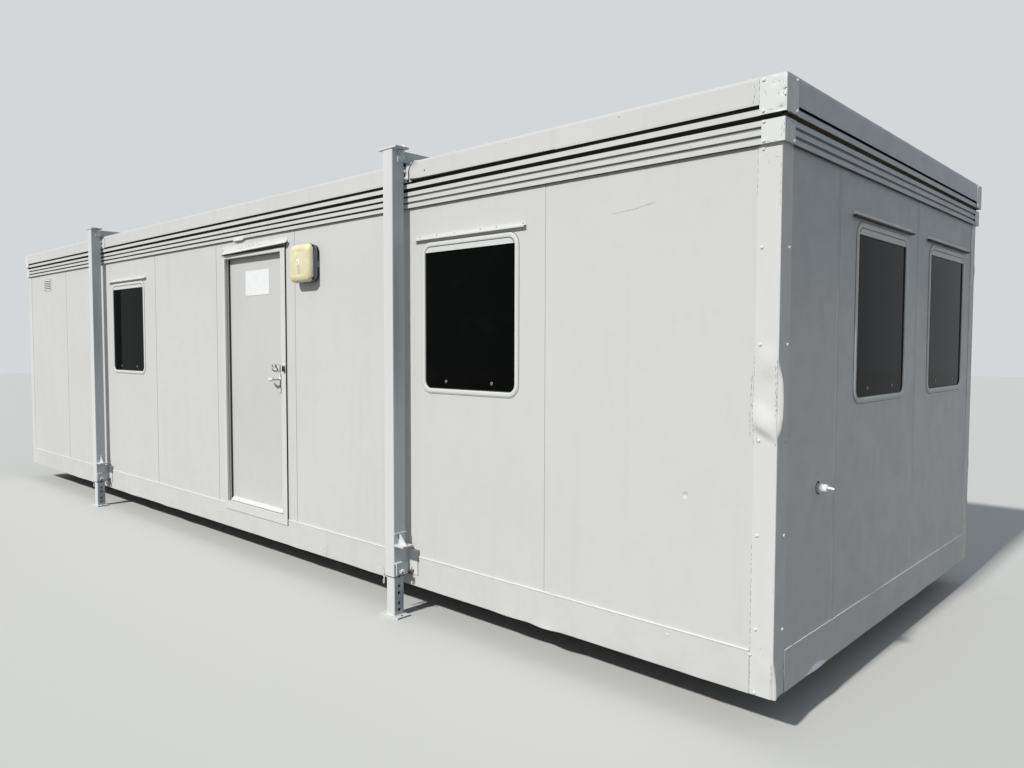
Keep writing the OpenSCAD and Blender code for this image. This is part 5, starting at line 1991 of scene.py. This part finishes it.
    def grip(self, share: float) -> tuple[float, float, float]:
        """Gives the line of the outer lever's grip, from the spindle to its free end.

        Args:
            share: Place along the grip, from 0 to 1.

        Returns:
            The place along the wall, the rise over the spindle and the fall towards the leaf.
        """
        along = self.spindle + 0.009 - (self.lever_reach + 0.009) * share
        return along, -0.0040 * math.sin(share * math.pi) + 0.0050 * share * share, 0.030 * share ** 4

    def levers(self) -> None:
        """Builds the pair of lever handles, each a neck that turns into a flat curved grip."""
        shape = self.on(Wall.FRONT)
        for side in (1, -1):
            face = -self.leaf_in if side > 0 else -self.leaf_in - self.leaf
            plate, neck = face + side * 0.0043, face + side * (self.lever_out - 0.008)
            shape.turned((self.spindle, self.lever_up, plate), (0, 0, side), [
                (0.0130, 0.0), (0.0130, 0.0022), (0.0105, 0.0040), (0.0080, 0.0060), (0.0078, abs(neck - plate)),
            ], 24)
            rings = []
            for share in shares(18):
                u, rise, fall = self.grip(share)
                slim = 0.55 * swell((share - 1.0) / 0.12)
                height = 0.0105 * (1 - 0.10 * math.cos(share * math.pi)) * (1 - slim)
                thick = 0.0065 * (1 - 0.30 * share)
                up, out = self.lever_up + rise, neck + side * (0.0025 - fall)
                rings.append([(u, up + height * c, out + thick * s * side) for c, s in arc(14)[:-1]])
            shape.loft(rings)
        axle = [(0.0058, 0.0), (0.0058, self.leaf + 0.0120)]
        shape.turned((self.spindle, self.lever_up, -self.leaf_in + 0.006), (0, 0, -1), axle, 20)
        shape.place("door_lever_pair", LOCK_STEEL, body="lever", replaces="door_levers", smooth=45)
        # Painted shade: dark wires along the underside of the grip and of the neck.
        under = self.on(Wall.FRONT)
        neck = -self.leaf_in + self.lever_out - 0.008
        path = []
        for share in evenly(0.10, 0.90, 8):
            u, rise, fall = self.grip(share)
            path.append((u, self.lever_up + rise - 0.0098, neck + 0.0030 - fall))
        under.wire(path, 0.0022, 8)
        under.wire([(self.spindle, self.lever_up - 0.0074, out) for out in (-self.leaf_in + 0.012, neck)], 0.0018, 8)
        under.place("door_lever_shade", BLACK_RUBBER_AND_SHADE, body="lever")

    def padlock(self) -> None:
        """Builds the black rubber-covered padlock that hangs from a staple on the frame."""
        (middle, top), face = self.padlock_at, self.frame_proud
        corners = [
            (math.copysign(abs(c) ** 0.75, c), math.copysign(abs(s) ** 0.75, s)) for c, s in arc(20)[:-1]
        ]
        shape = self.on(Wall.FRONT)
        shape.loft([
            [(middle + half * across, up, face + 0.0125 + thick * deep) for across, deep in corners]
            for up, half, thick in (
                (1.2735, 0.0095, 0.0055), (1.2750, 0.0120, 0.0075), (1.2850, 0.0125, 0.0080), (1.2950, 0.0105, 0.0080),
                (1.3060, 0.0080, 0.0070), (1.3140, 0.0055, 0.0055), (1.3170, 0.0040, 0.0040),
            )
        ])
        shape.place("padlock_body", BLACK_RUBBER_AND_SHADE, smooth=50)
        steel = self.on(Wall.FRONT)
        out = face + 0.0125
        bow = [(middle + 0.0050 * c, 1.316 + 0.010 * s, out) for c, s in arc(12, math.pi)]
        steel.wire([(middle + 0.0050, 1.311, out), *bow, (middle - 0.0050, 1.311, out)], 0.0022)
        loop = [(middle, top - 0.006 + 0.006 * c, face + 0.0115 * s) for c, s in arc(10, math.pi)]
        steel.wire(loop, 0.0024)
        steel.block((middle - 0.012, top - 0.012, face - 0.0005), (middle + 0.012, top + 0.008, face + 0.0022), 0.0008)
        steel.place("padlock_staple", LOCK_STEEL)

    def fasteners(self) -> None:
        """Builds the screws of the frame, the weather bar and the lock plates."""
        frame = self.on(Wall.FRONT)
        for up in evenly(self.sill + 0.12, self.head - 0.12, 5):
            for along in (self.left - 0.021, self.right + 0.030):
                frame.screw((along, up, self.frame_proud), (0, 0, 1), 0.0040)
        frame.place("door_frame_screws", TRIM_PAINT)
        leaf = self.on(Wall.FRONT)
        face = -self.leaf_in
        for along in self.bar_screws:
            leaf.screw((along, self.sill + 0.024, face + 0.0132), (0, 0.6, 0.8), 0.0040)
        for spot in self.plate_screws:
            leaf.screw((*spot, face + 0.004), (0, 0, 1), 0.0036)
        leaf.place("door_leaf_screws", LOCK_STEEL, body="door")


# Fittings


@dataclass(frozen=True)
class Fittings(Assembly):
    """Bulkhead lamp, water inlet and the crack in the wall's paint."""

    lamp: tuple[float, float] = (1.388, 2.030)
    lamp_size: float = 0.258
    lamp_round: float = 0.044
    base: float = 0.048
    lens: float = 0.046
    inlet: tuple[float, float] = (-1.092, 0.832)
    inlet_reach: float = 0.0745
    crack_at: tuple[float, float] = (3.967, 2.090)
    crack_length: float = 0.235

    def build(self) -> None:
        """Builds the fittings."""
        self.lamp_lens()
        self.lamp_base()
        self.lamp_gasket_and_back_shade()
        self.water_inlet()
        self.scratch()

    def lamp_ring(self, inset: float, out: float) -> list[tuple[float, float, float]]:
        """Gives one line round the lamp.

        Args:
            inset: Distance inside the lamp's edge.
            out: Distance out of the wall.

        Returns:
            The line's points.
        """
        size = self.lamp_size - 2 * inset
        radius = min(self.lamp_round - inset * 0.25, size * 0.4)
        return [(self.lamp[0] + x, self.lamp[1] + y, out) for x, y in rounded_outline(size, size, radius, 8)]

    def lamp_lens(self) -> None:
        """Builds the yellowed lens, a soft pillow with a sunk panel and a middle boss."""
        u, v = self.lamp
        rim, face = self.base, self.base + self.lens - 0.003
        lines = (
            (0.003, rim - 0.001), (-0.0008, rim + 0.003), (-0.0010, rim + 0.010), (0.0010, rim + 0.019),
            (0.0050, rim + 0.028), (0.0110, face - 0.0095), (0.0190, face - 0.0050), (0.0300, face - 0.0018),
            (0.0400, face - 0.0002), (0.0445, face - 0.0016), (0.0500, face - 0.0022), (0.0560, face - 0.0010),
            (0.0900, face - 0.0004), (0.1180, face),
        )
        shape = self.on(Wall.FRONT)
        shape.loft([self.lamp_ring(inset, out) for inset, out in lines])
        shape.place("lamp_lens_shell", LENS, replaces="lamp_lens", smooth=40)
        boss = self.on(Wall.FRONT)
        boss.stack((u, v + 0.004), [
            (rounded_outline(size, size + 0.004, 0.005, 4), out)
            for size, out in ((0.044, face - 0.002), (0.043, face + 0.0018), (0.040, face + 0.0026))
        ])
        boss.place("lamp_lens_boss", LENS_BOSS)
        # Painted shadow: a darker raised strip below the boss.
        rib = self.on(Wall.FRONT)
        rib.block((u - 0.004, v - 0.072, face - 0.002), (u + 0.022, v - 0.022, face + 0.0006), 0.0006)
        rib.place("lamp_lens_shadow_rib", LENS_PAINTED_SHADOW)
        screws = self.on(Wall.FRONT)
        screws.screw((u, v + 0.004, face + 0.0024), (0, 0, 1), 0.0042)
        screws.place("lamp_lens_screw", RUSTY_STEEL, slot="dark_plastic")

    def lamp_base(self) -> None:
        """Builds the lamp's grey tray with its feet, side ribs and cable plug."""
        u, v = self.lamp
        shape = self.on(Wall.FRONT)
        shape.loft([self.lamp_ring(inset, out) for inset, out in (
            (0.010, 0.015), (0.003, 0.016), (0.002, 0.020), (0.001, self.base - 0.010), (0.0, self.base - 0.008),
            (0.0, self.base - 0.003), (0.002, self.base - 0.0005), (0.012, self.base),
        )])
        for side in (-1, 1):
            for end in (-1, 1):
                foot = (u + side * 0.0775, v + end * 0.0775, 0.0)
                shape.turned(foot, (0, 0, 1), [(0.014, 0.0), (0.013, 0.0158)], 20)
            low, high = sorted((u + side * 0.121, u + side * 0.1285))
            shape.block((low, v - 0.030, 0.0005), (high, v + 0.010, self.base - 0.004), 0.0012)
        plug = (u + 0.06, v - self.lamp_size / 2 + 0.002, 0.030)
        shape.turned(plug, (0, -1, 0), [(0.011, -0.004), (0.011, 0.0), (0.009, 0.0015)], 6)
        shape.place("lamp_tray", DARK_PLASTIC, replaces="lamp_base", smooth=32)

    def lamp_gasket_and_back_shade(self) -> None:
        """Builds the black pad behind the lamp, painted shade in the gap between tray and wall, and the ragged gasket
        under its lens.
        """
        u, v = self.lamp
        rim = self.base
        pad = self.on(Wall.FRONT)
        # Painted shade: the black pad fills the gap between the tray and the wall.
        pad.loft([self.lamp_ring(inset, out) for inset, out in ((0.007, 0.0005), (0.005, 0.003), (0.005, 0.0162))])
        ragged = []
        for inset, out in (
            (0.006, rim - 0.003), (-0.0012, rim - 0.0026), (-0.0022, rim), (-0.0016, rim + 0.0028),
            (0.006, rim + 0.0026),
        ):
            ring = []
            for x, y, w in self.lamp_ring(inset, out):
                tear = 1 + 0.011 * waver(x * 60, y * 60, 4.0)
                lift = 0.0022 * waver(x * 80, y * 80, 9.0)
                ring.append((u + (x - u) * tear, v + (y - v) * tear, w + lift))
            ragged.append(ring)
        pad.loft(ragged)
        for up, radius in ((0.112, 0.009), (-0.108, 0.012)):
            drop = [(radius * 0.6, -0.006), (radius, 0.003), (radius * 0.7, 0.0082)]
            pad.turned((u + 0.122, v + up, rim + 0.002), (1, 0.2, 0), drop, 9)
        pad.place("lamp_gasket_and_back_shade", BLACK_RUBBER_AND_SHADE, smooth=30)

    def water_inlet(self) -> None:
        """Builds the white inlet with its flange, ribbed nut, collar and drooping tail."""
        u, v = self.inlet
        centre = (u, v, 0.0)
        shape = self.on(Wall.RIGHT)
        shape.turned(centre, (0, 0, 1), [
            (0.0115, -0.080), (0.0115, 0.0085), (0.0195, 0.0090), (0.0208, 0.0105), (0.0208, 0.0205), (0.0190, 0.0220),
            (0.0172, 0.0226), (0.0172, 0.0246), (0.0184, 0.0252), (0.0188, 0.0270), (0.0188, 0.0425), (0.0168, 0.0445),
            (0.0085, 0.0450),
        ], 36)
        rib = [(0.0010, 0.0108), (0.0013, 0.0118), (0.0013, 0.0192), (0.0010, 0.0202)]
        for c, s in arc(20)[:-1]:
            shape.turned((u + 0.0201 * c, v + 0.0201 * s, 0.0), (0, 0, 1), rib, 8)
        start = 0.043
        path = [
            (u, v + 0.0040 - 0.0040 * share ** 1.8, start + (self.inlet_reach - start) * share) for share in shares(8)
        ]
        shape.wire(path, 0.0062, 20)
        shape.place("water_inlet_fitting", WHITE_PLASTIC, replaces="water_inlet", smooth=40)
        dark = self.on(Wall.RIGHT)
        dark.turned(centre, (0, 0, 1), [(0.0262, 0.0), (0.0262, 0.0016), (0.0250, 0.0022)], 32)
        lug = [(0.0068, 0.0), (0.0066, 0.0060), (0.0040, 0.0075)]
        for side in (-1, 1):
            dark.turned((u - 0.004, v + side * 0.0235, 0.0), (0, 0, 1), lug, 12)
        # Painted shade: a dark plug in the tail's end stands for the shade in its bore.
        dark.turned(path[-1], (0, -0.22, 1), [(0.0054, -0.004), (0.0054, 0.0010)], 16)
        dark.place("water_inlet_seal_and_bore_shade", BLACK_RUBBER_AND_SHADE)
        # Painted shade: the white flange takes a pale blue-grey colour.
        flange = self.on(Wall.RIGHT)
        rim = [(0.0245, 0.0008), (0.0255, 0.0016), (0.0250, 0.0052), (0.0215, 0.0088), (0.0150, 0.0094)]
        flange.turned(centre, (0, 0, 1), rim, 32)
        flange.place("water_inlet_flange", SHADED_INLET_PLASTIC)

    def scratch(self) -> None:
        """Builds the thin crack in the paint high on the front wall."""
        u, up = self.crack_at
        rings = []
        for share in shares(26):
            wave = 0.004 * waver(share * 17, 0, 0)
            v = up + 0.016 * share + 0.030 * max(0.0, share - 0.55) ** 1.3 + wave
            half = 0.0010 * (0.4 + abs(waver(share * 11, 5, 0)))
            rings.append(strip_ring(u + self.crack_length * share, v - half, v + half, -0.0004, 0.0005))
        shape = self.on(Wall.FRONT)
        shape.loft(rings)
        shape.place("wall_scratch", CRACK_PAINT)


# Jacklegs


@dataclass(frozen=True)
class Jackleg(Assembly):
    """Bolts, welds, pin clip and foot bolt of one leg."""

    place: Place
    tube: float = 0.045
    cheek: float = 0.051
    pin_up: float = 0.109
    shelf: float = 0.268
    web_top: float = 0.329
    top: float = 2.623
    inner: float = 0.0375
    anchor: float = 0.064
    foot: float = -0.170
    beam_bolts: tuple[float, float] = (0.0125, 0.0455)

    @property
    def name(self) -> str:
        """Where the leg stands."""
        return self.place.value

    def shape(self) -> Shape:
        """Starts a piece in the leg's axes."""
        return Shape(self.site.leg(self.place))

    def build(self) -> None:
        """Builds the leg's details."""
        self.bolts()
        self.shade_rings()
        self.hook()
        self.welds()
        self.clip()

    def bolts(self) -> None:
        """Builds the bolts of the beam and of the fascia lug."""
        shape = self.shape()
        for side in (1, -1):
            for down in self.beam_bolts:
                shape.bolt((side * self.cheek, self.top - down, -0.024), (side, 0, 0), 0.0125, 0.014)
        shape.bolt((0.040, 2.502, -0.059), (0, 0, 1), 0.0120, 0.012)
        shape.bolt((0.047, 2.458, -0.059), (0, 0, 1), 0.0085, 0.008)
        shape.place(f"leg_bolts_{self.name}", CAP_PAINT, slot="leg_paint")

    def shade_rings(self) -> None:
        """Builds painted shade: dark rings under the bolts and behind the pin's head, and a dark ring in the gap
        between the tube and the leg.
        """
        shape = self.shape()
        for side in (1, -1):
            for down in self.beam_bolts:
                spot = (side * self.cheek, self.top - down - 0.002, -0.024)
                shape.washer(spot, (side, 0, 0), 0.0158, 0.0007, 0.0100)
        shape.washer((0.0395, 2.4985, -0.059), (0, 0, 1), 0.0155, 0.0010, 0.0100)
        if self.place in (Place.FRONT_RIGHT, Place.REAR_LEFT):
            shape.washer((0.067, self.pin_up - 0.002, 0.0), (1, 0, 0), 0.0140, 0.0007, 0.0112)
        rim, bore, low, high = self.tube - 0.0006, 0.0408, 0.0662, 0.0702
        for near, far in ((-rim, -bore), (bore, rim)):
            shape.block((near, low, -rim), (far, high, rim), 0.0003)
            shape.block((-bore, low, near), (bore, high, far), 0.0003)
        shape.place(f"leg_joint_shade_{self.name}", PAINTED_SHADE_BLACK)

    def hook(self) -> None:
        """Builds the rusty hook behind the leg's foot."""
        shape = self.shape()
        shape.wire([
            (0.030, 0.079, -0.0745), (0.046, 0.0745, -0.0735), (0.062, 0.0745, -0.0730), (0.073, 0.0790, -0.0735),
            (0.0785, 0.088, -0.0745), (0.0800, 0.101, -0.0755),
        ], 0.0036, 10)
        shape.turned((0.046, 0.0745, -0.0760), (0, 0, 1), [(0.0080, 0.0), (0.0080, 0.0040), (0.0060, 0.0055)], 10)
        shape.place(f"leg_rusty_hook_{self.name}", RUSTY_STEEL)

    def bead(self, shape: Shape, start: Point, end: Point, count: int, radius: float, seed: float) -> None:
        """Adds one weld bead.

        Args:
            shape: The piece being made.
            start: Where the bead starts.
            end: Where it ends.
            count: Number of its steps.
            radius: Its radius.
            seed: Offset of its waves.
        """
        first, last = Vector(start), Vector(end)
        shape.wire([
            first.lerp(last, k / count) + Vector((0, 0.0006 * waver(k * 0.9, seed, 2.0), 0))
            for k in range(count + 1)
        ], radius, 8)

    def welds(self) -> None:
        """Builds the weld beads round the plates, the shelf and the foot."""
        shape = self.shape()
        half = self.tube + 0.0008
        cap, web = self.top - 0.001, self.web_top - 0.001
        for number, (start, end) in enumerate((
            ((-half + 0.008, cap, half), (half - 0.008, cap, half)),
            ((half, cap, half - 0.008), (half, cap, -half + 0.03)),
            ((half, self.shelf + 0.001, half - 0.006), (half, self.shelf + 0.001, -half + 0.02)),
            ((half, web, half - 0.004), (half, web, -half + 0.004)),
        )):
            count = max(6, round((Vector(end) - Vector(start)).length / 0.004))
            self.bead(shape, start, end, count, 0.0026, number)
        shape.place(f"leg_welds_{self.name}", LEG_PAINT, smooth=60)
        foot = self.shape()
        low, reach = self.foot + 0.001, self.inner + 0.0006
        corners = [(-reach, low, reach), (reach, low, reach), (reach, low, -reach), (-reach, low, -reach)]
        for start, end in zip(corners, corners[1:] + corners[:1]):
            self.bead(foot, start, end, 18, 0.0028, 7.0)
        foot.place(f"leg_foot_weld_{self.name}", LEG_PAINT, body=f"leg_{self.name}", smooth=60)

    def clip(self) -> None:
        """Builds the wire clip that hangs from the head of the leg pin, the foot bolt and the painted shade in the
        foot's holes.
        """
        shape = self.shape()
        left, up = -self.tube - 0.020, self.pin_up
        for k in range(5):
            odd, tilt = k % 2, 0.5 * (k % 2)
            middle = Vector((left - 0.001 + 0.002 * odd, up - 0.010 - 0.019 * k, 0.034 + 0.002 * math.sin(k * 2.1)))
            turn = Vector((0.0065 * math.cos(tilt), 0, 0.0065 * math.sin(tilt)))
            shape.wire([middle + turn * c + Vector((0, 0.0125 * s, 0)) for c, s in arc(16)], 0.0023, 8)
        path = [(left, up + 0.012, 0.004)]
        path += [(left - 0.001, up + 0.012 * c, 0.004 + 0.013 * s) for c, s in arc(10, math.pi)[1:-1]]
        path += [(left - 0.002, up - 0.012 - 0.008 * k, 0.004 + 0.003 * math.sin(k * 0.8)) for k in range(7)]
        shape.wire(path, 0.0019, 8)
        eye = [(left - 0.003 + 0.007 * c, up - 0.068 + 0.009 * s, 0.004) for c, s in arc(18)[:-1]]
        shape.wire(eye, 0.0017, 8)
        if self.place is Place.FRONT_RIGHT:
            shape.bolt((-self.anchor, self.foot, 0.0), (0, 1, 0), 0.0115, 0.010)
        shape.wire([(0.076 + 0.0075 * c, up - 0.004 + 0.0075 * s, 0.017) for c, s in arc(18)], 0.0032, 8)
        body = f"leg_{self.name}"
        shape.place(f"leg_pin_clip_{self.name}", CAP_PAINT, slot="pin_steel", body=body)
        # Painted shade: a near-black lining in the foot's anchor holes.
        dirt = self.shape()
        for side in (-1, 1):
            dirt.loft([
                [(side * self.anchor + radius * c, self.foot + deep, radius * s) for c, s in arc(24)[:-1]]
                for radius, deep in ((0.0086, -0.0096), (0.0090, -0.0096), (0.0090, -0.0004), (0.0086, -0.0004))
            ], loop=True)
        dirt.place(f"leg_foot_hole_shade_{self.name}", PAINTED_SHADE_BLACK, body=body)


# Studio


@dataclass(frozen=True)
class Studio:
    """Floor, light and the camera at the photograph's viewing angle."""

    camera: tuple[float, float, float] = (6.166, -4.603, 1.648)
    yaw: float = 42.991
    pitch: float = -2.812
    roll: float = 0.128
    lens: float = 27.72
    sensor: float = 36.0
    to_sun: tuple[float, float, float] = (-0.003, -1.0, 0.86)
    sun: float = 3.44
    sun_width: float = 2.6
    fill: float = 0.372
    sky: Rgb = (0.86, 0.955, 1.045)
    backdrop: Rgb = (0.66, 0.68, 0.70)
    floor: Rgb = (0.60, 0.60, 0.585)
    floor_size: float = 90.0
    bounce: float = 0.26

    def build(self) -> None:
        """Builds the floor, the light and the camera."""
        self.make_floor()
        self.make_light()
        self.make_camera()
        bpy.context.scene.view_settings.view_transform = "Standard"

    def make_floor(self) -> None:
        """Builds the pale floor, which bounces less light than it shows."""
        half = self.floor_size / 2
        mesh = bpy.data.meshes.new("floor")
        mesh.from_pydata([(-half, -half, 0), (half, -half, 0), (half, half, 0), (-half, half, 0)], [], [(0, 1, 2, 3)])
        floor = bpy.data.objects.new("floor", mesh)
        bpy.context.scene.collection.objects.link(floor)
        g = Graph("floor")
        g.set("Base Color", g.blend(g.seen(), shade(self.floor, self.bounce), self.floor))
        g.set("Roughness", 0.9)
        g.set("Specular IOR Level", 0.1)
        mesh.materials.append(g.material)

    def make_light(self) -> None:
        """Builds the key light and the even fill from all round."""
        lamp = bpy.data.lights.new("key", "SUN")
        lamp.energy = self.sun
        lamp.angle = math.radians(self.sun_width)
        lamp.color = (1.0, 0.985, 0.955)
        key = bpy.data.objects.new("key", lamp)
        key.rotation_mode = "QUATERNION"
        key.rotation_quaternion = Vector(self.to_sun).to_track_quat("Z", "Y")
        key.location = Vector(self.to_sun).normalized() * 14
        bpy.context.scene.collection.objects.link(key)
        world = bpy.data.worlds.new("studio")
        world.use_nodes = True
        bpy.context.scene.world = world
        nodes = Nodes(world.node_tree)
        colour = nodes.blend(nodes.seen(), shade(self.sky, self.fill), self.backdrop)
        nodes.feed(world.node_tree.nodes["Background"].inputs["Color"], colour)

    def make_camera(self) -> None:
        """Builds the camera where the photograph was taken from."""
        yaw, pitch, roll = (math.radians(a) for a in (self.yaw, self.pitch, self.roll))
        ahead = Vector((-math.sin(yaw) * math.cos(pitch), math.cos(yaw) * math.cos(pitch), math.sin(pitch)))
        level = Vector((math.cos(yaw), math.sin(yaw), 0))
        over = level.cross(ahead)
        right = level * math.cos(roll) + over * math.sin(roll)
        up = over * math.cos(roll) - level * math.sin(roll)
        data = bpy.data.cameras.new("camera")
        data.lens, data.sensor_width = self.lens, self.sensor
        data.clip_start, data.clip_end = 0.1, 200.0
        camera = bpy.data.objects.new("camera", data)
        camera.matrix_world = frame_matrix(right, up, -ahead, Vector(self.camera))
        bpy.context.scene.collection.objects.link(camera)
        bpy.context.scene.camera = camera


WINDOWS: tuple[tuple[Wall, float], ...] = (
    (Wall.FRONT, 2.981), (Wall.FRONT, -1.781), (Wall.RIGHT, -0.298), (Wall.RIGHT, 0.882), (Wall.REAR, -2.981),
    (Wall.REAR, 1.781),
)


def main() -> None:
    """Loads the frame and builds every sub-assembly."""
    logging.basicConfig(level=logging.INFO, format="%(message)s", stream=sys.stdout)
    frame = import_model()
    site = Site.measure()
    Studio().build()
    dress_nodes(frame["nodes"])
    parts: list[Assembly] = [Corners(site), RailFacings(site), RoofEdge(site), PanelJoints(site)]
    parts += [Window(site, wall, along, number) for number, (wall, along) in enumerate(WINDOWS)]
    parts += [Doorway(site), Fittings(site)]
    parts += [Jackleg(site, place) for place in Place]
    for part in parts:
        part.build()


if __name__ == "__main__":
    main()
